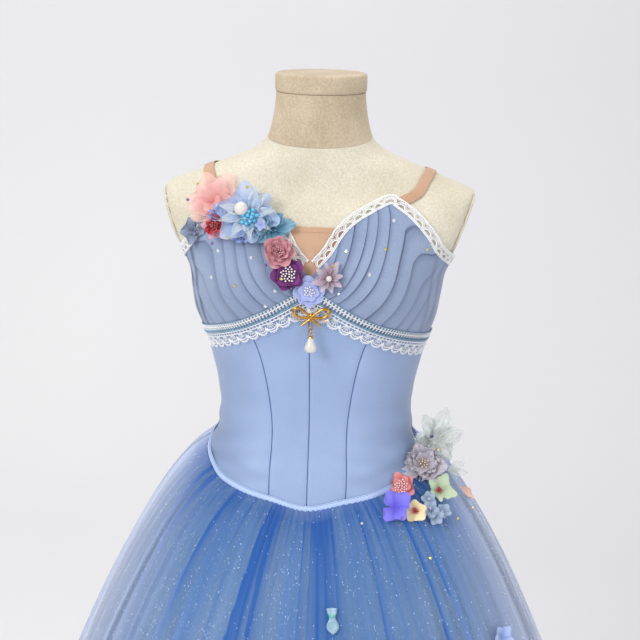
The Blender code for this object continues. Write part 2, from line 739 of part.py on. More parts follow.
def skirt_layer(name, rows, fold_shape, top_gap, hem_gap, fold_scale, tulle):
    """One gathered layer of tulle, inside the layer before it; fold_shape is one fold's cross-section."""
    columns = FOLD_COUNT * len(fold_shape)
    outer, inner = [], []
    for share in rows:
        outer_row, inner_row = [], []
        for column in range(columns):
            fold, place = divmod(column, len(fold_shape))
            angle = 2 * math.pi * column / columns + 0.035 * math.sin(2 * math.pi * column / columns * 9)
            point, normal = skirt_surface(angle, share), skirt_normal(angle, share)
            gap = top_gap + (hem_gap - top_gap) * share**0.8
            rise = fold_height(fold, fold_shape[place], share) * fold_scale - gap
            outer_row.append(point + normal * rise)
            inner_row.append(point + normal * (rise - TULLE_THICKNESS))
        outer.append(outer_row)
        inner.append(inner_row)
    level_hem(outer, inner)
    add_object(name, wall_mesh(name, outer, inner, ring=True), tulle)


def level_hem(outer, inner):
    """Cut the lowest row level, so that the hem keeps one height."""
    for row in (outer[-1], inner[-1]):
        for point in row:
            point.z = HEM_HEIGHT


def skirt(blue, glitter, ivory):
    fine_rows = (0.0, 0.04, 0.12, 0.28, 0.56, 1.0)
    plain_rows = (0.0, 0.04, 0.12, 0.28, 1.0)
    round_fold, plain_fold = (-0.9, 0.55, 0.75), (-0.6, 0.6)
    skirt_layer("skirt_outer", fine_rows, round_fold, 0.0, 0.0, 1.0, blue)
    skirt_layer("skirt_glitter", plain_rows, round_fold, 0.0022, 0.010, 0.75, glitter)
    skirt_layer("skirt_under", plain_rows, plain_fold, 0.0048, 0.024, 0.45, ivory)


# Flowers


def cover_surface(angle, height):
    """The dress's outside: the bodice with its trims above the basque seam, the skirt below it."""
    top = line_height(BASQUE_LINE, math.degrees(angle))
    if height > top:
        return polar(angle, body_radius(angle, height) + COVER, height)
    share = min((top - height) / (top - HEM_HEIGHT), 1.0)
    return skirt_surface(angle, share)


def raised_point(angle, height, rise, facing):
    """A point above the cover: along the given direction, or along the surface's own normal."""
    point = cover_surface(angle, height)
    direction = facing or surface_normal(cover_surface, angle, height)
    return point + direction * rise


def flower(item, facing):
    """A ruffled rosette that follows the cloth below it, with a raised middle and a petal outline."""
    columns = item.petals * 3
    centre_angle = math.radians(item.angle)
    step = 0.004
    turn_step = 0.02
    left, right = (cover_surface(centre_angle + turn, item.height) for turn in (turn_step, -turn_step))
    above, below = (cover_surface(centre_angle, item.height + rise) for rise in (step, -step))
    per_radian, per_metre = (left - right).length / (2 * turn_step), (above - below).length / (2 * step)
    floor = item.rise
    ring_shares = (0.30, 0.66, 1.0) if item.radius > 0.025 else (0.42, 1.0)
    ring_tops = (0.62, 1.0, 0.42) if item.radius > 0.025 else (0.80, 0.45)
    bottoms, tops = [], []
    for share, top in zip(ring_shares, ring_tops):
        low, high = [], []
        for column in range(columns):
            turn = 2 * math.pi * column / columns
            notch = 0.80 if column % 3 == 0 and share > 0.5 else 1.0
            ruffle = 0.22 if column % 3 == 1 else -0.10
            distance = item.radius * share * notch
            angle = centre_angle + distance * math.cos(turn) / per_radian
            height = item.height + distance * math.sin(turn) / per_metre
            crown = FLOWER_THICKNESS * min(1.0, max(0.28, top + ruffle * share))
            low.append(raised_point(angle, height, floor, facing))
            high.append(raised_point(angle, height, floor + crown, facing))
        bottoms.append(low)
        tops.append(high)
    bottom_middle = raised_point(centre_angle, item.height, floor, facing)
    top_middle = raised_point(centre_angle, item.height, floor + FLOWER_THICKNESS, facing)
    mesh = rosette_mesh(item.name, tops, bottoms, top_middle, bottom_middle)
    add_object(item.name, mesh, make_material(item.name, item.colour, 0.7))


def rosette_mesh(name, tops, bottoms, top_middle, bottom_middle):
    """Upper and lower rings joined at their rim, each closed to a middle point."""
    count = len(tops[0])
    rings = bottoms + list(reversed(tops))
    points = [tuple(p) for ring in rings for p in ring] + [tuple(bottom_middle), tuple(top_middle)]
    first, last = len(points) - 2, len(points) - 1
    faces = []
    for i in range(len(rings) - 1):
        for j in range(count):
            k = (j + 1) % count
            faces.append((i * count + j, i * count + k, (i + 1) * count + k, (i + 1) * count + j))
    end = (len(rings) - 1) * count
    for j in range(count):
        k = (j + 1) % count
        faces.append((first, k, j))
        faces.append((last, end + j, end + k))
    mesh = bpy.data.meshes.new(name)
    mesh.from_pydata(points, [], faces)
    tidy_mesh(mesh)
    return mesh


def flowers():
    for item in BODICE_FLOWERS:
        flower(item, None)
    for item in HIP_FLOWERS:
        flower(item, HIP_FACING)
    flower(SKIRT_FLOWER, None)


def pearl_bead(pearl):
    """A large half-round pearl on the blue organza flower."""
    angle = math.radians(PEARL_BEAD_PLACE.angle)
    place = raised_point(angle, PEARL_BEAD_PLACE.height, PEARL_BEAD_RISE, None)
    bpy.ops.mesh.primitive_uv_sphere_add(segments=12, ring_count=8, radius=PEARL_BEAD_RADIUS, location=place)
    finish_primitive("pearl_bead", pearl)


def crystal_drop(crystal):
    """A faceted drop that hangs on the skirt's front."""
    angle = math.radians(CRYSTAL_PLACE.angle)
    normal = surface_normal(cover_surface, angle, CRYSTAL_PLACE.height)
    middle = cover_surface(angle, CRYSTAL_PLACE.height) + normal * CRYSTAL_RISE
    across = Vector((math.cos(angle), math.sin(angle), 0.0))
    up = normal.cross(across).normalized()
    profile = ((0.0, -0.50), (0.55, -0.42), (1.0, -0.18), (0.80, 0.10), (0.38, 0.36), (0.0, 0.50))
    rings = []
    for width, along in profile[1:-1]:
        ring = []
        for turn in ring_angles(8):
            sideways = across * math.cos(turn) * CRYSTAL_HALF_WIDTH * width
            outwards = normal * math.sin(turn) * CRYSTAL_HALF_WIDTH * 0.6 * width
            ring.append(middle + sideways + outwards + up * along * CRYSTAL_HEIGHT)
        rings.append(ring)
    add_object("crystal_drop", closed_rings("crystal_drop", rings), crystal)


# Brooch


def bow_outline():
    """Half of the bow's outline as offsets from its middle, from the top to the bottom of the +X side."""
    return ((0.000, 0.0042), (0.0045, 0.0048), (0.0120, 0.0105), (0.0195, 0.0125), (0.0232, 0.0085),
            (0.0235, 0.0020), (0.0210, -0.0030), (0.0150, -0.0042), (0.0105, -0.0034), (0.0150, -0.0110),
            (0.0105, -0.0122), (0.0058, -0.0072), (0.0040, -0.0060))


def bow_loop():
    """The open middle of the +X loop."""
    return ((0.0085, 0.0022), (0.0135, 0.0068), (0.0185, 0.0084), (0.0200, 0.0050), (0.0192, 0.0008),
            (0.0145, -0.0006))


def torus_points(centre, major, minor, axis, around, across):
    """Rings of points of a torus whose hole runs along axis."""
    first = Vector((0, 0, 1))
    second = axis.cross(first).normalized()
    rings = []
    for turn in ring_angles(around):
        outward = first * math.cos(turn) + second * math.sin(turn)
        ring = []
        for twist in ring_angles(across):
            ring.append(centre + outward * (major + minor * math.cos(twist)) + axis * minor * math.sin(twist))
        rings.append(ring)
    return rings


def torus_mesh(name, centre, major, minor, axis, around=12, across=6):
    rings = torus_points(centre, major, minor, axis, around, across)
    points = [tuple(p) for ring in rings for p in ring]
    faces = []
    for i in range(around):
        for j in range(across):
            k, n = (j + 1) % across, (i + 1) % around
            faces.append((i * across + j, i * across + k, n * across + k, n * across + j))
    mesh = bpy.data.meshes.new(name)
    mesh.from_pydata(points, [], faces)
    tidy_mesh(mesh)
    return mesh


def cutter(name, mesh):
    """An object that only takes part in a Boolean."""
    holder = bpy.data.collections.get("cutters")
    if holder is None:
        holder = bpy.data.collections.new("cutters")
        bpy.context.scene.collection.children.link(holder)
    tool = bpy.data.objects.new(name, mesh)
    holder.objects.link(tool)
    tool.hide_render = True
    tool.display_type = "WIRE"
    return tool


def join_shape(piece, tool):
    union = piece.modifiers.new(tool.name, "BOOLEAN")
    union.operation = "UNION"
    union.solver = "EXACT"
    union.object = tool


def brooch_bow(gold):
    """A flat bow with open loops, and an eyelet below it for the link."""
    half = bow_outline()
    outline = list(half) + [(-x, y) for x, y in reversed(half[1:])]
    curve = bpy.data.curves.new("brooch_bow", "CURVE")
    curve.dimensions = "2D"
    curve.fill_mode = "BOTH"
    curve.extrude = BOW_THICKNESS / 2
    loops = [outline, bow_loop(), [(-x, y) for x, y in reversed(bow_loop())]]
    for points in loops:
        spline = curve.splines.new("POLY")
        spline.points.add(len(points) - 1)
        spline.use_cyclic_u = True
        for target, (x, y) in zip(spline.points, points):
            target.co = (x, y, 0.0, 1.0)
    flat = bpy.data.objects.new("brooch_bow_flat", curve)
    DRESS.objects.link(flat)
    flat.rotation_euler = (math.pi / 2, 0.0, 0.0)
    flat.location = BOW_CENTRE
    bpy.context.view_layer.update()
    mesh = bpy.data.meshes.new_from_object(flat.evaluated_get(bpy.context.evaluated_depsgraph_get()))
    mesh.transform(flat.matrix_world)
    bpy.data.objects.remove(flat, do_unlink=True)
    shape = bmesh.new()
    shape.from_mesh(mesh)
    bmesh.ops.remove_doubles(shape, verts=shape.verts, dist=0.00001)
    bmesh.ops.recalc_face_normals(shape, faces=shape.faces)
    shape.to_mesh(mesh)
    shape.free()
    bow = add_object("brooch_bow", mesh, gold)
    post = BOW_CENTRE.z - 0.0060 + 0.0010
    eyelet_top = EYELET_Z + EYELET_RADIUS
    bpy.ops.mesh.primitive_cylinder_add(vertices=8, radius=0.0009, depth=post - eyelet_top + 0.0004,
                                        location=(BOW_CENTRE.x, BOW_CENTRE.y, (post + eyelet_top) / 2))
    stem = bpy.context.object
    stem_tool = cutter("bow_stem", stem.data.copy())
    stem_tool.location = stem.location
    bpy.data.objects.remove(stem, do_unlink=True)
    join_shape(bow, stem_tool)
    centre = Vector((BOW_CENTRE.x, BOW_CENTRE.y, EYELET_Z))
    ring = torus_mesh("bow_eyelet", centre, EYELET_RADIUS, WIRE_RADIUS, Vector((0, 1, 0)))
    join_shape(bow, cutter("bow_eyelet", ring))


def link_pivot():
    """The link slides round the wire of the bow's eyelet, so it turns about the eyelet's middle."""
    return Vector((BOW_CENTRE.x, BOW_CENTRE.y, EYELET_Z))


def link_centre():
    touching = WIRE_RADIUS + LINK_WIRE_RADIUS + WIRE_GAP
    return link_pivot() + Vector((0, 0, touching - EYELET_RADIUS - LINK_RADIUS))


def pearl_pivot():
    """The pearl's loop turns on the lowest point of the link."""
    return link_centre() - Vector((0, 0, LINK_RADIUS))


def hinge_empty(name, place, parent=None):
    empty = bpy.data.objects.new(name, None)
    empty.empty_display_size = 0.01
    DRESS.objects.link(empty)
    empty.location = place - (parent.location if parent else Vector())
    empty.parent = parent
    return empty


def pendant(gold, pearl):
    """The link and the pearl, each on an empty at its pivot."""
    link_hinge = hinge_empty("link_hinge", link_pivot())
    pearl_hinge = hinge_empty("pearl_hinge", pearl_pivot(), link_hinge)
    link_mesh = torus_mesh("drop_link", link_centre() - link_pivot(), LINK_RADIUS, LINK_WIRE_RADIUS,
                           Vector((1, 0, 0)))
    link = add_object("drop_link", link_mesh, gold)
    link.parent = link_hinge
    touching = WIRE_RADIUS + LINK_WIRE_RADIUS + WIRE_GAP
    loop_centre = Vector((0, 0, touching - EYELET_RADIUS))
    top = loop_centre.z - EYELET_RADIUS + 0.0002
    profile = ((0.0012, 0.0), (0.0022, -0.03), (0.0030, -0.12), (0.0044, -0.30), (0.0063, -0.52),
               (PEARL_RADIUS, -0.72), (0.0062, -0.89), (0.0030, -0.985))
    rings = [[polar(a, radius, top + share * PEARL_LENGTH) for a in ring_angles(14)]
             for radius, share in reversed(profile)]
    drop = add_object("pearl_drop", closed_rings("pearl_drop", rings), pearl)
    drop.parent = pearl_hinge
    loop = cutter("pearl_loop", torus_mesh("pearl_loop", loop_centre, EYELET_RADIUS, WIRE_RADIUS,
                                           Vector((0, 1, 0))))
    loop.parent = pearl_hinge
    join_shape(drop, loop)


def build():
    clear_scene()
    linen = make_material("form_linen", (0.80, 0.75, 0.64), 0.9)
    neck_linen = make_material("neck_linen", (0.62, 0.56, 0.45), 0.9)
    painted_steel = make_material("stand_steel", (0.10, 0.10, 0.11), 0.4, 0.8)
    satin = make_material("bodice_satin", (0.42, 0.50, 0.70), 0.4)
    pale_satin = make_material("binding_satin", (0.55, 0.64, 0.84), 0.4)
    chiffon = make_material("cup_chiffon", (0.30, 0.38, 0.56), 0.7)
    skin_cloth = make_material("skin_cloth", (0.72, 0.48, 0.34), 0.8)
    white_lace = make_material("white_lace", (0.84, 0.84, 0.84), 0.9)
    blue_braid = make_material("blue_braid", (0.30, 0.45, 0.58), 0.8)
    blue_tulle = make_material("blue_tulle", (0.16, 0.28, 0.60), 0.8)
    glitter_tulle = make_material("glitter_tulle", (0.24, 0.34, 0.56), 0.6)
    ivory_tulle = make_material("ivory_tulle", (0.62, 0.62, 0.58), 0.8)
    gold = make_material("gold", (0.80, 0.58, 0.22), 0.3, 1.0)
    pearl = make_material("pearl", (0.86, 0.84, 0.80), 0.25)
    crystal = make_material("crystal", (0.70, 0.78, 0.84), 0.1)

    form_torso(linen)
    form_neck(neck_linen)
    neck_cap(neck_linen)
    stand(painted_steel)
    bodice_panels(satin)
    back_placket(satin)
    neckline_insert(skin_cloth)
    for side in (1, -1):
        arm_plate(side, linen)
        cup(side, chiffon)
        strap(side, skin_cloth)
        neckline_lace(side, white_lace)
    binding(pale_satin)
    underbust_braid(blue_braid)
    underbust_lace(white_lace)
    skirt(blue_tulle, glitter_tulle, ivory_tulle)
    flowers()
    pearl_bead(pearl)
    crystal_drop(crystal)
    brooch_bow(gold)
    pendant(gold, pearl)


build()
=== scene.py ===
# %% [markdown]
# # A ballet dress on a limbless dress form
#
# This lesson dresses a plain solid model of a romantic ballet dress. The solids already have their places and
# sizes, in metres. Each cell below adds one kind of sewn piece or one finish over them.

# %% Load the solids
import json
import math
import random

import bpy
import numpy as np
from mathutils import Matrix, Vector

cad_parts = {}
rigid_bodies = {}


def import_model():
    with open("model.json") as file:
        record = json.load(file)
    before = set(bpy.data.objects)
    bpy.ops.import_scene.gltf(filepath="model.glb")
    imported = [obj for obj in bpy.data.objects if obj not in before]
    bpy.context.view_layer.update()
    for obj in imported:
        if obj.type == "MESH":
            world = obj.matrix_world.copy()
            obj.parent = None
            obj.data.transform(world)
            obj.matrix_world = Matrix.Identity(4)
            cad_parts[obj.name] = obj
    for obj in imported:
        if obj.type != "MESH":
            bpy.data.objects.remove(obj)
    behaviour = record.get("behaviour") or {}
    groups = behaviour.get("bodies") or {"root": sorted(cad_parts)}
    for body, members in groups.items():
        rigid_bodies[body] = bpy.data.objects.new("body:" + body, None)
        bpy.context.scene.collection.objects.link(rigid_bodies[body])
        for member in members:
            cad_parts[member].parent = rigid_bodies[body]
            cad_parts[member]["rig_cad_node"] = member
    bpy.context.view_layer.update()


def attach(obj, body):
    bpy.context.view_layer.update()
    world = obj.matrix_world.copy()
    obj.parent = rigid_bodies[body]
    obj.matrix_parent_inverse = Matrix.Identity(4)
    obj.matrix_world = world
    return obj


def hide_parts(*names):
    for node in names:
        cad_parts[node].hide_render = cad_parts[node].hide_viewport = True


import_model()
random.seed(7)

# %% [markdown]
# ## The camera
#
# The dress was photographed from a little above and from slightly to its right, with a long lens. A camera is
# placed from those angles and a distance, which is easier to correct later than three rotations.

# %% Place the camera
PHOTO_SIZE = 640
FOCAL_PIXELS = 1406.0
VIEW_TURN, VIEW_TILT, VIEW_ROLL = math.radians(5.0), math.radians(14.5), math.radians(1.0)
VIEW_DISTANCE = 1.80
TARGET_HEIGHT = 1.1267
TARGET_SHIFT = 0.0035

level_right = Vector((math.cos(VIEW_TURN), math.sin(VIEW_TURN), 0.0))
view_forward = Vector((-math.sin(VIEW_TURN) * math.cos(VIEW_TILT), math.cos(VIEW_TURN) * math.cos(VIEW_TILT),
                       -math.sin(VIEW_TILT)))
level_up = level_right.cross(view_forward)
view_right = level_right * math.cos(VIEW_ROLL) + level_up * math.sin(VIEW_ROLL)
view_up = level_up * math.cos(VIEW_ROLL) - level_right * math.sin(VIEW_ROLL)
eye = Vector((0, 0, TARGET_HEIGHT)) + view_right * TARGET_SHIFT - view_forward * VIEW_DISTANCE

camera_data = bpy.data.cameras.new("photo_camera")
camera_data.sensor_width = 36.0
camera_data.lens = 36.0 * FOCAL_PIXELS / PHOTO_SIZE
camera = bpy.data.objects.new("photo_camera", camera_data)
bpy.context.scene.collection.objects.link(camera)
turn = Matrix((view_right, view_up, -view_forward)).transposed()
camera.matrix_world = Matrix.Translation(eye) @ turn.to_4x4()
bpy.context.scene.camera = camera
print("eye:", tuple(round(c, 4) for c in eye))


def pixel_ray(x, y):
    """The direction from the eye through a pixel of the photograph."""
    return (view_forward + view_right * ((x - PHOTO_SIZE / 2) / FOCAL_PIXELS)
            - view_up * ((y - PHOTO_SIZE / 2) / FOCAL_PIXELS)).normalized()


# %% [markdown]
# ## Floor and light
#
# A studio sweep is one sheet that runs from the floor up a wall in a soft bend, so no edge shows behind the
# dress. Large soft lights and a bright world keep the shadows faint, as in the photograph.

# %% Sweep and lights
FLOOR_BACK, SWEEP_RADIUS, WALL_TOP, SWEEP_HALF_WIDTH = 1.9, 1.2, 4.5, 6.0


def select_only(*pieces):
    """Operators act on all that is selected, so everything else is deselected first."""
    if bpy.context.object and bpy.context.object.mode != "OBJECT":
        bpy.ops.object.mode_set(mode="OBJECT")
    bpy.ops.object.select_all(action="DESELECT")
    for piece in pieces:
        piece.select_set(True)
    if pieces:
        bpy.context.view_layer.objects.active = pieces[0]


def wrap_grid(name, columns, rows, place):
    """A flat grid with its own UV map, laid out by place(u, v), which gives one point for each u and v."""
    select_only()
    bpy.ops.mesh.primitive_grid_add(x_subdivisions=columns, y_subdivisions=rows, size=1.0, location=(0, 0, 0))
    piece = bpy.context.object
    piece.name = piece.data.name = name
    flat = np.empty(len(piece.data.vertices) * 3)
    piece.data.vertices.foreach_get("co", flat)
    points = place(np.clip(flat[0::3] + 0.5, 0, 1), np.clip(flat[1::3] + 0.5, 0, 1))
    piece.data.vertices.foreach_set("co", np.ascontiguousarray(points, dtype=float).ravel())
    piece.data.update()
    return piece


def sweep_place(u, v):
    straight, bend = FLOOR_BACK + 4.0, SWEEP_RADIUS * math.pi / 2
    total = straight + bend + WALL_TOP - SWEEP_RADIUS
    run = v * total
    turn_angle = np.clip((run - straight) / SWEEP_RADIUS, 0, math.pi / 2)
    y = np.where(run < straight, run - 4.0, FLOOR_BACK + SWEEP_RADIUS * np.sin(turn_angle))
    z = SWEEP_RADIUS * (1 - np.cos(turn_angle)) + np.clip(run - straight - bend, 0, None)
    return np.stack([(u - 0.5) * 2 * SWEEP_HALF_WIDTH, y, z], axis=-1)


sweep = wrap_grid("studio_sweep", 2, 90, sweep_place)
bpy.ops.object.shade_smooth()


def soft_light(name, place, aim, size, power, colour=(1, 1, 1)):
    data = bpy.data.lights.new(name, "AREA")
    data.shape = "DISK"
    data.size = size
    data.energy = power
    data.color = colour
    lamp = bpy.data.objects.new(name, data)
    bpy.context.scene.collection.objects.link(lamp)
    lamp.location = place
    lamp.rotation_euler = (Vector(aim) - Vector(place)).to_track_quat("-Z", "Y").to_euler()
    return lamp


soft_light("key_light", (-2.2, -3.0, 3.2), (0, 0, 1.0), 1.8, 84)
soft_light("fill_light", (2.8, -2.6, 1.8), (0, 0, 1.0), 2.2, 24, (0.97, 0.98, 1.0))
soft_light("top_light", (0.3, 0.6, 3.6), (0, 0.1, 1.0), 2.0, 26)
world = bpy.data.worlds.new("bright_room")
bpy.context.scene.world = world
world.use_nodes = True
world.node_tree.nodes["Background"].inputs["Color"].default_value = (0.985, 0.99, 1.0, 1.0)
world.node_tree.nodes["Background"].inputs["Strength"].default_value = 0.68
bpy.context.scene.view_settings.view_transform = "Standard"

# %% [markdown]
# ## The body below the cloth
#
# Every piece of cloth follows the dress form, so the form is described once, by level sections, with a smooth
# bump for each side of the bust. Cloth is then placed by an angle round the body, a height and a small rise.

# %% Describe the body
SECTIONS = np.array([
    (0.790, 0.1520, 0.1000, 0.1080, 2.30), (0.830, 0.1600, 0.1060, 0.1160, 2.30),
    (0.880, 0.1600, 0.1070, 0.1130, 2.30), (0.920, 0.1500, 0.1030, 0.1040, 2.25),
    (0.955, 0.1365, 0.0970, 0.0940, 2.20), (0.985, 0.1235, 0.0890, 0.0850, 2.20),
    (1.015, 0.1195, 0.0850, 0.0810, 2.20), (1.050, 0.1225, 0.0870, 0.0840, 2.20),
    (1.084, 0.1300, 0.0920, 0.0890, 2.20), (1.113, 0.1375, 0.0980, 0.0940, 2.25),
    (1.145, 0.1480, 0.1060, 0.1000, 2.30), (1.175, 0.1530, 0.1110, 0.1040, 2.30),
    (1.200, 0.1570, 0.1110, 0.1060, 2.30), (1.225, 0.1720, 0.1060, 0.1060, 2.30),
    (1.250, 0.1940, 0.0980, 0.1020, 2.30), (1.275, 0.2040, 0.0860, 0.0930, 2.30),
    (1.290, 0.2030, 0.0750, 0.0820, 2.30), (1.299, 0.1940, 0.0680, 0.0750, 2.30),
    (1.309, 0.1710, 0.0630, 0.0700, 2.30), (1.320, 0.1440, 0.0600, 0.0670, 2.25),
    (1.331, 0.1160, 0.0590, 0.0650, 2.20), (1.344, 0.0860, 0.0580, 0.0630, 2.10),
    (1.358, 0.0680, 0.0570, 0.0600, 2.00), (1.375, 0.0610, 0.0550, 0.0560, 2.00),
    (1.400, 0.0565, 0.0540, 0.0540, 2.00), (1.424, 0.0545, 0.0535, 0.0535, 2.00)])
BUST_ANGLE, BUST_ANGLE_SPREAD = math.radians(37), math.radians(21)
BUST_HEIGHT, BUST_HEIGHT_SPREAD, BUST_DEPTH = 1.188, 0.047, 0.019
ARM_PLANE_X, ARM_PLANE_TOP, ARM_PLANE_SLOPE, ARM_PLATE_BOTTOM = 0.1915, 1.298, 0.37, 1.215


def hermite(knots, at):
    """Smooth values between rows of knots; the first column says where each row lies."""
    place = np.clip(at, knots[0, 0], knots[-1, 0])
    i = np.clip(np.searchsorted(knots[:, 0], place, side="right") - 1, 0, len(knots) - 2)
    before, after = np.maximum(i - 1, 0), np.minimum(i + 2, len(knots) - 1)
    a, b = knots[i], knots[i + 1]
    span = (b[..., :1] - a[..., :1])
    slope_a = (b - knots[before]) / (b[..., :1] - knots[before][..., :1])
    slope_b = (knots[after] - a) / (knots[after][..., :1] - a[..., :1])
    s = (place - a[..., 0])[..., None] / span
    value = ((2 * s**3 - 3 * s**2 + 1) * a + (s**3 - 2 * s**2 + s) * span * slope_a
             + (3 * s**2 - 2 * s**3) * b + (s**3 - s**2) * span * slope_b)
    return value[..., 1:]


def body_radius(angle, height):
    """Distance from the pole's axis to the form, for angles in radians from the centre front."""
    angle, height = np.broadcast_arrays(np.asarray(angle, float), np.asarray(height, float))
    row = hermite(SECTIONS, height)
    side, depth = np.sin(angle), np.cos(angle)
    reach = np.where(depth > 0, row[..., 1], row[..., 2])
    power = row[..., 3]
    radius = (np.abs(side / row[..., 0]) ** power + np.abs(depth / reach) ** power) ** (-1 / power)
    from_front = np.abs((angle + math.pi) % (2 * math.pi) - math.pi)
    across, along = (from_front - BUST_ANGLE) / BUST_ANGLE_SPREAD, (height - BUST_HEIGHT) / BUST_HEIGHT_SPREAD
    return radius + BUST_DEPTH * np.exp(-across**2 - along**2)


def polar(angle, radius, height):
    angle, radius, height = np.broadcast_arrays(angle, radius, height)
    return np.stack([radius * np.sin(angle), -radius * np.cos(angle), height], axis=-1)


def body_surface(angle, height):
    return polar(angle, body_radius(angle, height), height)


def surface_normal(surface, angle, height, step_angle=0.01, step_height=0.0015):
    along = surface(angle + step_angle, height) - surface(angle - step_angle, height)
    up = surface(angle, height + step_height) - surface(angle, height - step_height)
    normal = np.cross(along, up)
    return normal / np.linalg.norm(normal, axis=-1, keepdims=True)


def on_body(degrees, height, rise):
    """Points raised from the form along its own normal; the angle is in degrees."""
    angle, height = np.broadcast_arrays(np.radians(degrees), np.asarray(height, float))
    rise = np.broadcast_to(rise, angle.shape)
    return body_surface(angle, height) + surface_normal(body_surface, angle, height) * rise[..., None]


print("waist half width:", round(float(body_radius(math.pi / 2, 1.015)), 4))

# %% [markdown]
# ## Lines on the body
#
# A dressmaker marks the waist, the neckline and the line under the bust on the form with tape. Here each tape
# is a curve of height against angle, the same on both sides, and the cloth is cut to these curves.

# %% Mark the lines
HALF_TURN = 180.0


def tape(*parts):
    """A line round the body from one or more smooth parts that meet at corners."""
    tables = [np.array(part, float) for part in parts]

    def height(degrees):
        angle = np.abs((np.asarray(degrees, float) + HALF_TURN) % 360 - HALF_TURN)
        value = hermite(tables[0], angle)[..., 0]
        for table in tables[1:]:
            value = np.where(angle > table[0, 0], hermite(table, angle)[..., 0], value)
        return value

    return height


basque_line = tape(((-24, 0.9165), (0, 0.9075), (24, 0.9165), (41, 0.9230), (58, 0.9335), (68, 0.9450),
                    (90, 0.9640), (120, 0.9720), (180, 0.9730)))
underbust_line = tape(((0, 1.1930), (10, 1.1865), (25, 1.1680), (43, 1.1490), (74, 1.1285), (92, 1.1250),
                       (180, 1.1250)))
neckline = tape(((0, 1.2060), (13, 1.2320), (22, 1.2550), (31, 1.2690), (42, 1.2800), (53, 1.2900)),
                ((53, 1.2900), (57, 1.2740), (60, 1.2560), (64, 1.2360), (75, 1.2180), (90, 1.2080),
                 (180, 1.1950)))
STRAP_ROUTE = np.array([(57.5, 1.2925), (65.5, 1.3010), (74, 1.3150), (82.5, 1.3215), (90, 1.3223), (99, 1.3205),
                        (108, 1.3140), (117, 1.2950), (126, 1.2730), (136, 1.2450), (144, 1.2050)])
SIDE_SEAM, BACK_EDGE = 90.0, 179.4
print("basque point:", round(float(basque_line(0)), 4), "side:", round(float(basque_line(90)), 4))


def princess_seam(height):
    return 25.5 + 10.5 * (height - 0.92) / 0.22


# %% [markdown]
# ## Small node groups
#
# Cloth looks like cloth when its colour is never quite even. One group gives soft uneven patches, and one gives
# the fine over-and-under of a weave. Each is built once and used by many materials with its own numbers.

# %% Build the shared groups


def srgb(red, green, blue):
    """A colour as it is seen in a photograph, turned into the linear light that shaders use."""
    linear = [((c / 255 + 0.055) / 1.055) ** 2.4 if c > 10 else c / 255 / 12.92 for c in (red, green, blue)]
    return (*linear, 1.0)


def add_node(tree, kind, inputs=(), **settings):
    made = tree.nodes.new(kind)
    for key, value in settings.items():
        setattr(made, key, value)
    for key, value in dict(inputs).items():
        if isinstance(value, bpy.types.NodeSocket):
            tree.links.new(value, made.inputs[key])
        else:
            made.inputs[key].default_value = value
    return made


def new_group(name, inputs, outputs):
    group = bpy.data.node_groups.new(name, "ShaderNodeTree")
    for label, kind, value in inputs:
        socket = group.interface.new_socket(label, in_out="INPUT", socket_type=kind)
        if value is not None:
            socket.default_value = value
    for label, kind in outputs:
        group.interface.new_socket(label, in_out="OUTPUT", socket_type=kind)
    return group, group.nodes.new("NodeGroupInput"), group.nodes.new("NodeGroupOutput")


FLOAT, COLOUR, VECTOR = "NodeSocketFloat", "NodeSocketColor", "NodeSocketVector"
uneven, uneven_in, uneven_out = new_group(
    "uneven_dye",
    [("Vector", VECTOR, None), ("Light", COLOUR, None), ("Dark", COLOUR, None), ("Patch Size", FLOAT, 8.0),
     ("Fleck Size", FLOAT, 400.0), ("Flecks", FLOAT, 0.3)],
    [("Color", COLOUR), ("Height", FLOAT)])
patches = add_node(uneven, "ShaderNodeTexNoise", {"Vector": uneven_in.outputs["Vector"],
                                                  "Scale": uneven_in.outputs["Patch Size"], "Detail": 3.0})
flecks = add_node(uneven, "ShaderNodeTexNoise", {"Vector": uneven_in.outputs["Vector"],
                                                 "Scale": uneven_in.outputs["Fleck Size"], "Detail": 2.0})
fleck_part = add_node(uneven, "ShaderNodeMath", {0: flecks.outputs["Fac"], 1: uneven_in.outputs["Flecks"]},
                      operation="MULTIPLY")
both = add_node(uneven, "ShaderNodeMath", {0: patches.outputs["Fac"], 1: fleck_part.outputs[0]}, operation="ADD")
weights = add_node(uneven, "ShaderNodeMath", {0: uneven_in.outputs["Flecks"], 1: 1.0}, operation="ADD")
even = add_node(uneven, "ShaderNodeMath", {0: both.outputs[0], 1: weights.outputs[0]}, operation="DIVIDE")
spread = add_node(uneven, "ShaderNodeMapRange", {"Value": even.outputs[0], "From Min": 0.36, "From Max": 0.66})
dyed = add_node(uneven, "ShaderNodeMix", {"Factor": spread.outputs[0]}, data_type="RGBA")
uneven.links.new(uneven_in.outputs["Light"], dyed.inputs[6])
uneven.links.new(uneven_in.outputs["Dark"], dyed.inputs[7])
uneven.links.new(dyed.outputs[2], uneven_out.inputs["Color"])
uneven.links.new(flecks.outputs["Fac"], uneven_out.inputs["Height"])

weave, weave_in, weave_out = new_group(
    "woven_threads", [("Vector", VECTOR, None), ("Threads", FLOAT, 300.0)], [("Height", FLOAT)])
warp = add_node(weave, "ShaderNodeTexWave", {"Vector": weave_in.outputs["Vector"],
                                             "Scale": weave_in.outputs["Threads"], "Distortion": 0.6},
                bands_direction="X")
weft = add_node(weave, "ShaderNodeTexWave", {"Vector": weave_in.outputs["Vector"],
                                             "Scale": weave_in.outputs["Threads"], "Distortion": 0.6},
                bands_direction="Z")
crossing = add_node(weave, "ShaderNodeMath", {0: warp.outputs["Fac"], 1: weft.outputs["Fac"]},
                    operation="MAXIMUM")
weave.links.new(crossing.outputs[0], weave_out.inputs["Height"])
print("node groups:", [g.name for g in bpy.data.node_groups])


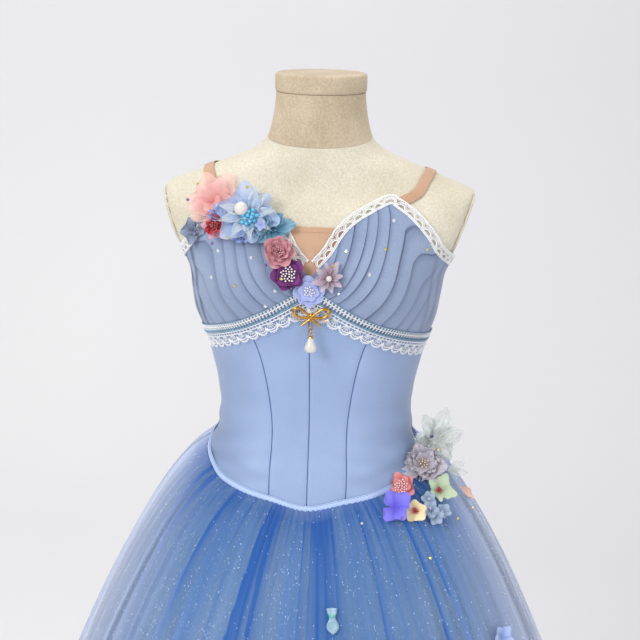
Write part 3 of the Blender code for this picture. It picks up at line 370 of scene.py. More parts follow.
def cloth_material(name, light, dark, patch=8.0, fleck=400.0, flecks=0.3, threads=300.0, bump=0.15,
                   roughness=0.8, sheen=0.0, specular=0.3, alpha=1.0, metallic=0.0, transmission=0.0, coat=0.0):
    """A cloth finish: uneven dye, a woven bump, and its own gloss. Returns the material and its Principled node."""
    material = bpy.data.materials.new(name)
    material.use_nodes = True
    tree = material.node_tree
    shader = tree.nodes["Principled BSDF"]
    place = add_node(tree, "ShaderNodeTexCoord").outputs["Object"]
    dye = add_node(tree, "ShaderNodeGroup", node_tree=uneven)
    for key, value in (("Vector", place), ("Light", light), ("Dark", dark), ("Patch Size", patch),
                       ("Fleck Size", fleck), ("Flecks", flecks)):
        if isinstance(value, bpy.types.NodeSocket):
            tree.links.new(value, dye.inputs[key])
        else:
            dye.inputs[key].default_value = value
    threads_node = add_node(tree, "ShaderNodeGroup", node_tree=weave)
    tree.links.new(place, threads_node.inputs["Vector"])
    threads_node.inputs["Threads"].default_value = threads
    relief = add_node(tree, "ShaderNodeBump", {"Height": threads_node.outputs["Height"], "Strength": bump,
                                               "Distance": 0.0004})
    tree.links.new(dye.outputs["Color"], shader.inputs["Base Color"])
    tree.links.new(relief.outputs["Normal"], shader.inputs["Normal"])
    shader.inputs["Roughness"].default_value = roughness
    shader.inputs["Metallic"].default_value = metallic
    shader.inputs["Sheen Weight"].default_value = sheen
    shader.inputs["Specular IOR Level"].default_value = specular
    shader.inputs["Transmission Weight"].default_value = transmission
    shader.inputs["Coat Weight"].default_value = coat
    if alpha < 1.0:
        shader.inputs["Alpha"].default_value = alpha
    return material, shader


# %% [markdown]
# ## Finishes
#
# The form is speckled linen, the bodice is matt-backed satin, the cups are chiffon and the insert is skin-coloured
# stretch cloth. They differ in gloss and in how large their flecks are more than in colour.

# %% Make the plain finishes
sweep_finish, sweep_shader = cloth_material("sweep_paper", srgb(240, 239, 239), srgb(236, 235, 236), patch=0.6,
                                            fleck=3, flecks=0.1, threads=20, bump=0.0, roughness=0.95)
tree = sweep_finish.node_tree
# Painted shade: the sweep's colour grows a little darker and bluer towards +X, the side away from the key light.
across = add_node(tree, "ShaderNodeSeparateXYZ", {0: add_node(tree, "ShaderNodeTexCoord").outputs["Object"]})
right_side = add_node(tree, "ShaderNodeMapRange", {"Value": across.outputs["X"], "From Min": -1.0, "From Max": 1.2})
sweep_shade_mix = add_node(tree, "ShaderNodeMix", {"Factor": right_side.outputs[0]}, data_type="RGBA")
tree.links.new(sweep_shader.inputs["Base Color"].links[0].from_socket, sweep_shade_mix.inputs[6])
sweep_shade_mix.inputs[7].default_value = srgb(226, 225, 229)
tree.links.new(sweep_shade_mix.outputs[2], sweep_shader.inputs["Base Color"])
seen_from_behind = add_node(tree, "ShaderNodeNewGeometry").outputs["Backfacing"]
clear_back = add_node(tree, "ShaderNodeMixShader", {0: seen_from_behind, 1: sweep_shader.outputs[0],
                                                    2: add_node(tree, "ShaderNodeBsdfTransparent").outputs[0]})
tree.links.new(clear_back.outputs[0], tree.nodes["Material Output"].inputs["Surface"])
if sweep.data.polygons[0].normal.z < 0:
    sweep.data.flip_normals()
sweep.data.materials.append(sweep_finish)
linen, _ = cloth_material("form_linen", srgb(229, 223, 206), srgb(206, 196, 172), patch=14, fleck=420,
                          flecks=1.1, threads=420, bump=0.35, roughness=0.95, sheen=0.15)
neck_linen, _ = cloth_material("neck_linen", srgb(212, 195, 170), srgb(182, 164, 138), patch=20, fleck=380,
                               flecks=0.9, threads=300, bump=0.5, roughness=0.95, sheen=0.1)
satin, satin_shader = cloth_material("bodice_satin", srgb(160, 182, 219), srgb(142, 164, 204), patch=9,
                                     fleck=900, flecks=0.5, threads=700, bump=0.25, roughness=0.42, sheen=0.25,
                                     specular=0.45)
piping_satin, _ = cloth_material("binding_satin", srgb(192, 213, 246), srgb(172, 196, 236), patch=30, fleck=700,
                                 flecks=0.4, threads=600, bump=0.2, roughness=0.45, sheen=0.2)
seam_thread, _ = cloth_material("seam_thread", srgb(84, 106, 158), srgb(66, 88, 142), patch=60, roughness=0.7)
skin_cloth, _ = cloth_material("skin_cloth", srgb(205, 168, 140), srgb(190, 151, 123), patch=24, fleck=600,
                               flecks=0.5, threads=520, bump=0.3, roughness=0.85, sheen=0.1)
painted_steel, _ = cloth_material("stand_paint", srgb(52, 52, 55), srgb(40, 40, 43), patch=14, fleck=160,
                                  flecks=0.4, threads=90, bump=0.05, roughness=0.38, specular=0.5, coat=0.2)
lace_thread, _ = cloth_material("lace_thread", srgb(254, 254, 254), srgb(236, 239, 244), patch=120, fleck=900,
                                flecks=0.6, threads=900, bump=0.4, roughness=0.85, sheen=0.2)
braid_thread, _ = cloth_material("braid_thread", srgb(168, 198, 216), srgb(116, 156, 186), patch=160, fleck=900,
                                 flecks=0.6, threads=900, bump=0.4, roughness=0.8, sheen=0.2)
print("finishes:", len(bpy.data.materials))

# %% [markdown]
# ## The dress form
#
# A tailor's form is a padded shell under a tight cover, cut flat at the arms and closed with oval plates. Its
# cover is a tube of cloth laid on the sections, and the flat arm ends come from holding the tube inside a
# leaning plane.

# %% Cover the form
NECK_SEAM, NECK_SEAM_SLOPE, NECK_RIDGE, NECK_TOP = 1.3635, 0.16, 1.417, 1.440
FORM_BOTTOM, SEAM_GAP = 0.800, 0.0003


def neck_seam(angle):
    height = np.full_like(angle, NECK_SEAM)
    for _ in range(6):
        height = NECK_SEAM - NECK_SEAM_SLOPE * np.cos(angle) * body_radius(angle, height)
    return height


def join_seam(piece, cap_ends=False):
    """Sew a tube closed along its side, close its ends if asked, and turn its faces outwards."""
    select_only(piece)
    bpy.ops.object.mode_set(mode="EDIT")
    bpy.ops.mesh.select_all(action="SELECT")
    bpy.ops.mesh.remove_doubles(threshold=0.00002)
    if cap_ends:
        bpy.ops.mesh.select_all(action="DESELECT")
        bpy.ops.mesh.select_non_manifold()
        bpy.ops.mesh.fill_holes(sides=0)
        bpy.ops.mesh.select_all(action="SELECT")
    bpy.ops.mesh.select_all(action="SELECT")
    bpy.ops.mesh.normals_make_consistent(inside=False)
    bpy.ops.object.mode_set(mode="OBJECT")


def dress_piece(piece, material, body="dress_and_form", replaces=(), thickness=None, smooth_angle=50):
    """Give a piece its wall, finish and body, and hide the solids it replaces."""
    select_only(piece)
    if thickness:
        wall = piece.modifiers.new("wall", "SOLIDIFY")
        wall.thickness = thickness
        wall.offset = -1.0
        bpy.ops.object.modifier_apply(modifier="wall")
    bpy.ops.object.shade_smooth_by_angle(angle=math.radians(smooth_angle))
    piece.data.materials.clear()
    piece.data.materials.append(material)
    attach(piece, body)
    if replaces:
        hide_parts(*replaces)
    return piece


def torso_place(u, v):
    angle = u * 2 * math.pi
    height = FORM_BOTTOM + (neck_seam(angle) - SEAM_GAP - FORM_BOTTOM) * v**0.8
    points = body_surface(angle, height)
    limit = ARM_PLANE_X - ARM_PLANE_SLOPE * (ARM_PLANE_TOP - height)
    limit = np.where(height > ARM_PLATE_BOTTOM, limit, 1.0)
    points[:, 0] = np.clip(points[:, 0], -limit, limit)
    return points


torso = wrap_grid("form_cover", 168, 150, torso_place)
join_seam(torso, cap_ends=True)
dress_piece(torso, linen, replaces=["form_torso"])


def neck_place(u, v):
    angle = u * 2 * math.pi
    low = neck_seam(angle)
    height = low + (NECK_RIDGE - SEAM_GAP - low) * v
    return body_surface(angle, height)


neck = wrap_grid("neck_cover", 96, 20, neck_place)
join_seam(neck, cap_ends=True)
dress_piece(neck, neck_linen, replaces=["form_neck"])
print("form cover:", len(torso.data.polygons), "faces")

# %% [markdown]
# The neck ends in a plate with a rounded rim. A cylinder gets its rim from a bevel of its two outer edges. The
# pole and the base are made the same way, each from a primitive at its own place.

# %% Neck plate, pole and base
CAP_RADIUS, POLE_RADIUS, BASE_RADIUS, BASE_HEIGHT = 0.0565, 0.016, 0.170, 0.028


def turned_part(name, radius, low, high, edge, material, node, sides=96):
    """A cylinder with rounded edges between two heights."""
    select_only()
    bpy.ops.mesh.primitive_cylinder_add(vertices=sides, radius=radius, depth=high - low,
                                        location=(0, 0, (low + high) / 2))
    part = bpy.context.object
    part.name = part.data.name = name
    bpy.ops.object.transform_apply(location=True, rotation=True, scale=True)
    rim = part.modifiers.new("rim", "BEVEL")
    rim.width, rim.segments, rim.limit_method = edge, 4, "ANGLE"
    rim.angle_limit = math.radians(50)
    bpy.ops.object.modifier_apply(modifier="rim")
    return dress_piece(part, material, replaces=[node], smooth_angle=40)


neck_plate = turned_part("neck_plate", CAP_RADIUS, NECK_RIDGE, NECK_TOP, 0.0035, neck_linen, "neck_cap")
turned_part("pole", POLE_RADIUS, BASE_HEIGHT + SEAM_GAP, FORM_BOTTOM - SEAM_GAP, 0.001, painted_steel,
            "stand_pole", 48)
turned_part("round_base", BASE_RADIUS, 0.0, BASE_HEIGHT, 0.010, painted_steel, "stand_base", 128)

# %% [markdown]
# The arm plates are thin ovals on the leaning ends of the shoulders. Their outline follows the form's own edge, a
# little inside it, and the same outline is swept up in three steps for a rounded rim.

# %% Arm plates
PLATE_THICKNESS = 0.0035


def depth_at(offset, height, side):
    low, high = 0.0, 0.14
    for _ in range(30):
        middle = (low + high) / 2
        inside = body_radius(math.atan2(offset, side * middle), height) > math.hypot(offset, middle)
        low, high = (middle, high) if inside else (low, middle)
    return low


def plate_outline(steps=24):
    halves = []
    for side in (1, -1):
        half = []
        for i in range(steps):
            share = 0.5 - 0.5 * math.cos(math.pi * (i + 0.5) / steps)
            height = 1.223 + (1.2965 - 1.223) * share
            limit = ARM_PLANE_X - ARM_PLANE_SLOPE * (ARM_PLANE_TOP - height)
            half.append((limit, -side * (depth_at(limit, height, side) - 0.0015), height))
        halves.append(half)
    return np.array(halves[0][::-1] + halves[1])


outline = plate_outline()
outline_middle = outline.mean(axis=0)
plate_outward = np.array([1.0, 0.0, -ARM_PLANE_SLOPE]) / math.hypot(1.0, ARM_PLANE_SLOPE)
for side, word in ((1, "left"), (-1, "right")):
    def plate_place(u, v, side=side):
        place = np.clip(u, 0, 1) * len(outline)
        i = np.floor(place).astype(int) % len(outline)
        k = (i + 1) % len(outline)
        edge = outline[i] + (outline[k] - outline[i]) * (place - np.floor(place))[:, None]
        rise = np.interp(v, [0, 0.3, 0.45, 1], [SEAM_GAP, PLATE_THICKNESS - 0.001, PLATE_THICKNESS, PLATE_THICKNESS])
        size = np.interp(v, [0, 0.3, 0.45, 1], [0.985, 0.985, 0.955, 0.0])
        points = outline_middle + (edge - outline_middle) * size[:, None] + plate_outward * rise[:, None]
        points[:, 0] *= side
        return points
    plate = wrap_grid("arm_cover_" + word, 96, 20, plate_place)
    join_seam(plate, cap_ends=True)
    dress_piece(plate, linen, replaces=["arm_plate_" + word], smooth_angle=40)
print("arm plates:", 2)

# %% [markdown]
# ## Bodice panels
#
# The bodice is six satin panels, drawn tight over the form and sewn edge to edge. Each panel is a grid whose
# sides follow two seams and whose ends follow two tapes. Close to a seam the cloth dips a little, which is what
# makes a sewn seam show as a soft groove.

# %% Cut and sew the panels
PANEL_RISE, PANEL_THICKNESS, SEAM_DIP, SEAM_DIP_WIDTH = 0.0040, 0.0014, 0.0010, 0.0030
PANEL_FOOT, CUP_OVERLAP, CUP_SEAM = 0.0010, 0.0030, 0.0020


def measured_cut(piece, columns, rows):
    """The mean width and length of a grid of cloth as it lies, which is the size it was cut to."""
    flat = np.empty(len(piece.data.vertices) * 3)
    piece.data.vertices.foreach_get("co", flat)
    points = flat.reshape(rows + 1, columns + 1, 3)
    width = np.linalg.norm(np.diff(points, axis=1), axis=2).sum(axis=1).mean()
    length = np.linalg.norm(np.diff(points, axis=0), axis=2).sum(axis=0).mean()
    return round(float(width), 3), round(float(length), 3)


def straight(value):
    return lambda height: value + 0.0 * height


def bodice_panel(name, side, near_edge, far_edge, bottom, top, columns=36, rows=80, folds=None):
    def place(u, v):
        height = 0.93 + 0.22 * v
        for _ in range(3):
            degrees = near_edge(height) + (far_edge(height) - near_edge(height)) * u
            low, high = bottom(degrees), top(degrees)
            height = low + (high - low) * v
        seam = np.radians(far_edge(height) - near_edge(height)) * 0.11 * np.minimum(u, 1 - u)
        edge_gap = np.where(u < 0.5, 1, -1) * np.clip(0.00015 - seam, 0, 1) / 0.11
        dip = SEAM_DIP * np.exp(-(seam / SEAM_DIP_WIDTH) ** 2)
        crease = folds(degrees, height) if folds else 0.0
        return on_body(side * (degrees + np.degrees(edge_gap)), height, PANEL_RISE - dip + crease)

    panel = wrap_grid(name, columns, rows, place)
    cut = measured_cut(panel, columns, rows)
    return panel, cut


def waist_creases(degrees, height):
    """Soft pulls that run from the hip up towards the waist at the sides."""
    side_pull = np.exp(-((degrees - 74) / 26) ** 2) * np.exp(-((height - 0.985) / 0.040) ** 2)
    low_pull = np.exp(-((degrees - 52) / 18) ** 2) * np.exp(-((height - 0.948) / 0.018) ** 2)
    return (0.0018 * side_pull * np.sin(height * 160 + np.radians(degrees) * 3.0)
            + 0.0016 * low_pull * np.sin(height * 210 - np.radians(degrees) * 7.0))


def panel_bottom(degrees):
    return basque_line(degrees) + PANEL_FOOT


def panel_top(degrees):
    return underbust_line(degrees) - CUP_OVERLAP - CUP_SEAM


bodice_pieces = []
for side, word in ((1, "left"), (-1, "right")):
    plan = (
        ("front", straight(0.0), princess_seam, panel_top, ["bodice_front_" + word]),
        ("side", princess_seam, straight(SIDE_SEAM), panel_top, ["bodice_side_" + word]),
        ("back", straight(SIDE_SEAM), straight(BACK_EDGE), neckline, ["bodice_back_" + word]),
    )
    for part, near, far, top, nodes in plan:
        name = "satin_%s_%s" % (part, word)
        panel, cut = bodice_panel(name, side, near, far, panel_bottom, top, folds=waist_creases)
        if side < 0:
            select_only(panel)
            bpy.ops.object.mode_set(mode="EDIT")
            bpy.ops.mesh.select_all(action="SELECT")
            bpy.ops.mesh.flip_normals()
            bpy.ops.object.mode_set(mode="OBJECT")
        dress_piece(panel, satin, replaces=nodes, thickness=PANEL_THICKNESS)
        bodice_pieces.append(panel)
        print(name, "cut", cut)

# %% [markdown]
# ## Threads, cords and lace
#
# Seams, braid and lace are all made of thread. One helper turns a list of routes into round thread, and another
# walks a line on the body, so that a flat lace pattern can be laid along it by length and distance.

# %% Thread helpers


def threads(name, routes, radius, material, slot, closed=False, roundness=1, replaces=(), body="dress_and_form"):
    """Round thread along each route of points, made as one curve and turned into a mesh."""
    select_only()
    bpy.ops.object.add(type="CURVE", location=(0, 0, 0))
    strand = bpy.context.object
    strand.name = strand.data.name = name
    strand.data.dimensions = "3D"
    strand.data.bevel_depth = radius
    strand.data.bevel_resolution = roundness
    strand.data.use_fill_caps = not closed
    for route in routes:
        spline = strand.data.splines.new("POLY")
        spline.points.add(len(route) - 1)
        points = np.ones((len(route), 4))
        points[:, :3] = route
        spline.points.foreach_set("co", points.ravel())
        spline.use_cyclic_u = closed
    bpy.ops.object.convert(target="MESH")
    strand = bpy.context.object
    strand.data.name = name
    return dress_piece(strand, material, body=body, replaces=replaces)


def walk(side, line, start, end, count=400, smooth=5):
    """Lay a ruler along a line on the body. Returns its length and a function that places (along, away, rise)."""
    degrees = np.linspace(start, end, count) * side
    heights = line(degrees) if callable(line) else hermite(line, np.abs(degrees))[..., 0]
    points = on_body(degrees, heights, 0.0)
    lengths = np.concatenate([[0], np.cumsum(np.linalg.norm(np.diff(points, axis=0), axis=1))])
    normals = surface_normal(body_surface, np.radians(degrees), heights)
    tangents = np.gradient(points, axis=0)
    padded_tangents = np.pad(tangents, ((smooth, smooth), (0, 0)), mode="edge")
    tangents = sum(padded_tangents[k:k + count] for k in range(2 * smooth + 1))
    tangents /= np.linalg.norm(tangents, axis=1, keepdims=True)
    away = np.cross(normals, tangents) * side
    away /= np.linalg.norm(away, axis=1, keepdims=True)

    def place(along, aside, rise):
        along, aside, rise = np.broadcast_arrays(np.asarray(along, float), aside, rise)
        spot = [np.stack([np.interp(along, lengths, table[:, k]) for k in range(3)], axis=-1)
                for table in (points, away, normals)]
        return spot[0] + spot[1] * aside[..., None] + spot[2] * rise[..., None]

    return float(lengths[-1]), place


print("neckline length on one side:", round(walk(1, neckline, 7.5, 89.0)[0], 3))

# %% [markdown]
# ## Seam lines
#
# The seams were sewn in a darker blue thread, so each shows as one fine line in its groove. The line is real
# thread here, half sunk in the groove, and the same is used at the centre front and at the side seams.

# %% Sew the seam lines
seam_routes = []
for side in (1, -1):
    for edge in (princess_seam, straight(SIDE_SEAM)):
        share = np.linspace(0, 1, 60)
        height = 0.93 + 0.2 * share
        for _ in range(3):
            degrees = edge(height)
            height = panel_bottom(degrees) + (panel_top(degrees) - panel_bottom(degrees)) * share
        seam_routes.append(on_body(side * degrees, height, PANEL_RISE - SEAM_DIP + 0.0001))
centre_heights = np.linspace(float(panel_bottom(0)), float(panel_top(0)), 60)
seam_routes.append(on_body(0.0, centre_heights, PANEL_RISE - SEAM_DIP + 0.0001))
seams = threads("seam_lines", seam_routes, 0.00055, seam_thread, "bodice_satin")
print("seam lines:", len(seam_routes))

# %% [markdown]
# ## Placket
#
# The dress closes at the back with hooks. A narrow strip of the same satin covers them, with a line of stitches
# near each edge, so nothing of the hooks shows.

# %% Placket and its stitches
TRIM_RISE = 0.0056


def placket_place(u, v):
    degrees = 176.2 + 7.6 * u
    low, high = float(panel_bottom(180)) + 0.009, float(neckline(180))
    return on_body(degrees, low + (high - low) * v, TRIM_RISE - 0.0004 * np.abs(2 * u - 1) ** 4)


placket = wrap_grid("placket", 10, 80, placket_place)
placket_cut = measured_cut(placket, 10, 80)
dress_piece(placket, satin, replaces=["back_placket"], thickness=0.0010)


def dashes(route, stitch=0.0024, gap=0.0012):
    """Cut a route of points into short stitches."""
    lengths = np.concatenate([[0], np.cumsum(np.linalg.norm(np.diff(route, axis=0), axis=1))])
    starts = np.arange(0, lengths[-1] - stitch, stitch + gap)
    return [np.stack([np.interp([s, s + stitch / 2, s + stitch], lengths, route[:, k]) for k in range(3)], axis=1)
            for s in starts]


stitch_routes = []
for degrees in (176.8, 183.2):
    heights = np.linspace(float(panel_bottom(180)) + 0.010, float(neckline(180)) - 0.002, 60)
    stitch_routes += dashes(on_body(degrees, heights, TRIM_RISE - 0.0001))
placket_stitches = threads("placket_stitches", stitch_routes, 0.00035, seam_thread, "bodice_satin", roundness=0)
print("placket cut", placket_cut, "stitches:", len(stitch_routes))

# %% [markdown]
# ## Pleated cups
#
# Each cup is one piece of chiffon laid in narrow knife pleats that fan out from the bottom to the top. A pleat is
# a long shallow rise with a sudden drop, and the drop is where a dark line of painted shade lies. That painted shade
# is kept as an attribute on the cloth, so it follows each pleat exactly; the satin's sides get painted shade the same
# way.

# %% Lay the pleats
PLEATS, PLEAT_STEPS, PLEAT_HEIGHT, CUP_RISE = 12, 28, 0.0019, 0.0037


def shade_by_attribute(material, shader, attribute, dark):
    """Darken a finish where an attribute on the cloth is high."""
    tree = material.node_tree
    plain = shader.inputs["Base Color"].links[0].from_socket
    mask = add_node(tree, "ShaderNodeAttribute", attribute_name=attribute)
    mixed = add_node(tree, "ShaderNodeMix", {"Factor": mask.outputs["Fac"]}, data_type="RGBA")
    tree.links.new(plain, mixed.inputs[6])
    if isinstance(dark, bpy.types.NodeSocket):
        tree.links.new(dark, mixed.inputs[7])
    else:
        mixed.inputs[7].default_value = dark
    tree.links.new(mixed.outputs[2], shader.inputs["Base Color"])


def keep_attribute(piece, name, values):
    layer = piece.data.attributes.new(name, "FLOAT", "POINT")
    layer.data.foreach_set("value", np.ascontiguousarray(values, dtype=np.float32))


chiffon, chiffon_shader = cloth_material("cup_chiffon", srgb(152, 167, 196), srgb(134, 149, 180), patch=12,
                                         fleck=500, flecks=0.5, threads=800, bump=0.3, roughness=0.75, sheen=0.3)
# Painted shade: the chiffon turns to this dark colour along each pleat's drop, in its hollow and in two side folds.
shade_by_attribute(chiffon, chiffon_shader, "pleat_shade", srgb(58, 72, 110))
# Painted shade on the satin panels: darker towards the sides and towards the lower edge, with soft stripes of painted
# crease shade low down, kept as the side_shade attribute.
for panel in bodice_pieces:
    spots = np.array([v.co[:] for v in panel.data.vertices])
    around = np.degrees(np.arctan2(np.abs(spots[:, 0]), -spots[:, 1]))
    low = np.clip((1.01 - spots[:, 2]) / 0.09, 0, 1)
    crease = low * np.clip((around - 12) / 20, 0, 1) * (0.5 + 0.5 * np.sin(spots[:, 2] * 230 + around * 0.11))
    keep_attribute(panel, "side_shade", np.clip((around - 36) / 50, 0, 0.8) * (0.6 + 0.4 * low) + 0.22 * crease)
shade_by_attribute(satin, satin_shader, "side_shade", srgb(104, 122, 158))
cups, cup_cuts = {}, {}
for side, word in ((1, "left"), (-1, "right")):
    def pleat_phase(u, side=side):
        """Pleats are not all one width: the phase runs a little fast and slow."""
        return (u + 0.010 * np.sin(u * 17 + side) + 0.006 * np.sin(u * 41 + 2 * side)) * PLEATS

    def cup_place(u, v, side=side):
        bottom, top = 0.2 + 89.6 * u**1.60, 0.2 + 89.6 * u**0.62
        degrees = bottom + (top - bottom) * v
        low = underbust_line(degrees) - CUP_OVERLAP
        height = low + (neckline(degrees) - low) * v
        phase = pleat_phase(u) % 1.0
        rise = np.where(phase < 0.94, (phase / 0.94) ** 1.4, (1 - phase) / 0.06)
        fade = np.clip(0.25 + 3.0 * np.minimum(v, 1 - v), 0, 1)
        body_fold = 0.0010 * np.sin(u * 9 + v * 3 + side) * np.sin(v * math.pi)
        ends = np.clip(np.minimum(u, 1 - u) * 30, 0, 1)
        return on_body(side * degrees, height, CUP_RISE + PLEAT_HEIGHT * rise * fade * ends + body_fold * ends)

    columns, rows = PLEATS * PLEAT_STEPS, 64
    cup = wrap_grid("pleated_cup_" + word, columns, rows, cup_place)
    cup_cut = measured_cut(cup, columns, rows)
    grid_u = np.tile(np.linspace(0, 1, columns + 1), rows + 1)
    grid_v = np.repeat(np.linspace(0, 1, rows + 1), columns + 1)
    # Painted shade, kept per point: a dark line at each pleat's drop, softer shade in the hollow after it, and shade
    # in two folds at the side, stronger on the right cup.
    from_drop = np.abs(((pleat_phase(grid_u) + 0.5 - 0.97) % 1.0) - 0.5)
    line = np.exp(-(from_drop / 0.036) ** 2) * (0.80 + 0.20 * np.sin(grid_v * 9 + grid_u * 30))
    pleat_hollow_shade = 0.30 * np.exp(-(((pleat_phase(grid_u) % 1.0) / 0.25) ** 2))
    around = 0.2 + 89.6 * (grid_u**1.60 * (1 - grid_v) + grid_u**0.62 * grid_v)
    side_fold_shade = 0.8 * np.exp(-((around - 66) / 1.5) ** 2) + 0.9 * np.exp(-((around - 74) / 2.2) ** 2)
    pleat_hollow_shade += side_fold_shade * (0.35 if side > 0 else 1.0)
    keep_attribute(cup, "pleat_shade", np.clip(line + pleat_hollow_shade, 0, 1))
    if side < 0:
        cup.data.flip_normals()
    dress_piece(cup, chiffon, replaces=["cup_" + word], thickness=0.0011, smooth_angle=80)
    cup_cuts[word] = cup_cut
    cups[word] = cup
    print("cup", word, "cut", cup_cut)

# %% [markdown]
# ## Insert and straps
#
# The V between the cups and both straps are skin-coloured stretch cloth, meant to vanish on stage. The insert has
# a turned hem with one row of stitches, and a few slack wrinkles run down into the V.

# %% Insert and straps
INSERT_SIDE, INSERT_TOP, INSERT_RISE, STRAP_RISE, STRAP_WIDTH = 21.0, 1.2640, 0.0019, 0.0024, 0.013


def insert_place(u, v):
    degrees = -INSERT_SIDE + 2 * INSERT_SIDE * u
    low = neckline(degrees) - 0.006
    height = low + (INSERT_TOP - low) * v
    wrinkle = 0.0003 * np.sin(degrees * 0.55 + height * 140) * (1 - v)
    hem = 0.0003 * (height > INSERT_TOP - 0.006)
    return on_body(degrees, height, INSERT_RISE + wrinkle + hem)


insert = wrap_grid("skin_insert", 60, 50, insert_place)
insert_cut = measured_cut(insert, 60, 50)
dress_piece(insert, skin_cloth, replaces=["neckline_insert"], thickness=0.0010)
hem_thread, _ = cloth_material("hem_thread", srgb(196, 148, 118), srgb(180, 134, 104), patch=80)
hem_degrees = np.linspace(-20.5, 20.5, 80)
hem_stitches = threads("insert_stitches", dashes(on_body(hem_degrees, INSERT_TOP - 0.0055, INSERT_RISE + 0.0003)),
                       0.00028, hem_thread, "skin_cloth", roundness=0)

for side, word in ((1, "left"), (-1, "right")):
    strap_length, strap_place = walk(side, STRAP_ROUTE, 57.5, 144.0, smooth=12)

    def strap_grid(u, v, strap_place=strap_place, strap_length=strap_length):
        aside = (u - 0.5) * STRAP_WIDTH
        return strap_place(v * strap_length, aside, STRAP_RISE - 0.0003 * np.abs(2 * u - 1) ** 6)

    strap = wrap_grid("skin_strap_" + word, 10, 110, strap_grid)
    strap_cut = measured_cut(strap, 10, 110)
    if side < 0:
        strap.data.flip_normals()
    strap.data.flip_normals()
    dress_piece(strap, skin_cloth, replaces=["strap_" + word], thickness=0.0009)
    print("strap", word, "cut", strap_cut)

# %% [markdown]
# ## Neckline lace
#
# The edging is cotton lace: a foot cord on the cup's edge, a row of open arches, and a fine net with a wavy outer
# cord. The pattern is drawn flat, one repeat after another, and then laid along the neckline.

# %% Make the edging lace
LACE_PITCH, LACE_RISE = 0.0138, 0.0046
for side, word in ((1, "left"), (-1, "right")):
    lace_length, lace_place = walk(side, neckline, 6.0, 89.0, smooth=8)
    repeats = round(lace_length / LACE_PITCH)
    pitch = lace_length / repeats
    fine = np.linspace(0, lace_length, repeats * 16)
    heavy, light = [lace_place(fine, 0.0006, LACE_RISE)], []
    heavy.append(lace_place(fine, 0.0024, LACE_RISE - 0.0002))
    heavy.append(lace_place(fine, 0.0118 + 0.0010 * np.abs(np.sin(math.pi * fine / pitch)), LACE_RISE - 0.0004))
    sweep_turn = np.linspace(0, math.pi, 9)
    for k in range(repeats):
        middle = (k + 0.5) * pitch
        heavy.append(lace_place(middle - 0.40 * pitch * np.cos(sweep_turn), 0.0024 + 0.0052 * np.sin(sweep_turn),
                                LACE_RISE))
        light.append(lace_place(middle - 0.50 * pitch * np.cos(sweep_turn), 0.0034 + 0.0062 * np.sin(sweep_turn),
                                LACE_RISE - 0.0003))
    zigzag = np.linspace(0, lace_length, repeats * 24)
    light.append(lace_place(zigzag, 0.0105 + 0.0013 * np.sin(zigzag / pitch * 12 * math.pi), LACE_RISE - 0.0004))
    light.append(lace_place(zigzag, 0.0128 + 0.0009 * np.sin(zigzag / pitch * 12 * math.pi), LACE_RISE - 0.0004))
    lace = threads("edging_lace_" + word, heavy, 0.00078, lace_thread, "white_lace",
                   replaces=["neckline_lace_" + word])
    fine_lace = threads("edging_net_" + word, light, 0.00048, lace_thread, "white_lace", roundness=0)
    print("edging", word, "repeats", repeats)

# %% [markdown]
# ## Under-bust braid
#
# Below the cups lies a looped braid in two blues. Each row of loops is a curve that runs forwards faster than it
# runs back, which makes the little crossings of crochet. A flat strip of the darker blue lies behind the loops.

# %% Make the braid
BRAID_WIDTH = 0.012
braid_length, braid_place = walk(1, underbust_line, -89.5, 89.5, count=800, smooth=6)


def braid_strip(u, v):
    return braid_place(u * braid_length, -BRAID_WIDTH * v, TRIM_RISE - 0.0008)


braid_base_finish, _ = cloth_material("braid_base", srgb(126, 150, 176), srgb(96, 122, 152), patch=180,
                                      fleck=900, flecks=0.6, threads=900, bump=0.4)
braid_base = wrap_grid("braid_strip", 220, 4, braid_strip)
braid_cut = measured_cut(braid_base, 220, 4)
braid_base.data.flip_normals()
dress_piece(braid_base, braid_base_finish, replaces=["underbust_braid"], thickness=0.0006)
loop_turn = np.linspace(0, 2 * math.pi * round(braid_length / 0.0044), round(braid_length / 0.0044) * 11)
loop_along = loop_turn / loop_turn[-1] * braid_length
rows_of_loops = []
for aside, lean in ((0.0024, 1), (0.0060, -1), (0.0096, 1)):
    rows_of_loops.append(braid_place(np.clip(loop_along - 0.0017 * np.sin(loop_turn), 0, braid_length),
                                     -aside + 0.0017 * lean * np.cos(loop_turn),
                                     TRIM_RISE + 0.0002 + 0.0003 * np.sin(loop_turn)))
blue_loops = threads("braid_loops", rows_of_loops[:2], 0.00050, lace_thread, "white_lace", roundness=0)
white_loops = threads("braid_loops_blue", rows_of_loops[2:] + [
    braid_place(loop_along, -0.0004, TRIM_RISE), braid_place(loop_along, -BRAID_WIDTH + 0.0002, TRIM_RISE)],
    0.00050, braid_thread, "blue_braid", roundness=0)
print("braid cut", braid_cut, "loops in a row:", round(braid_length / 0.0044))

# %% [markdown]
# ## Under-bust lace
#
# Wider white lace hangs below the braid. One scallop has two curved cords, five spokes, a row of small arcs above
# and picots along its edge. It is drawn once in flat numbers and repeated along the line.

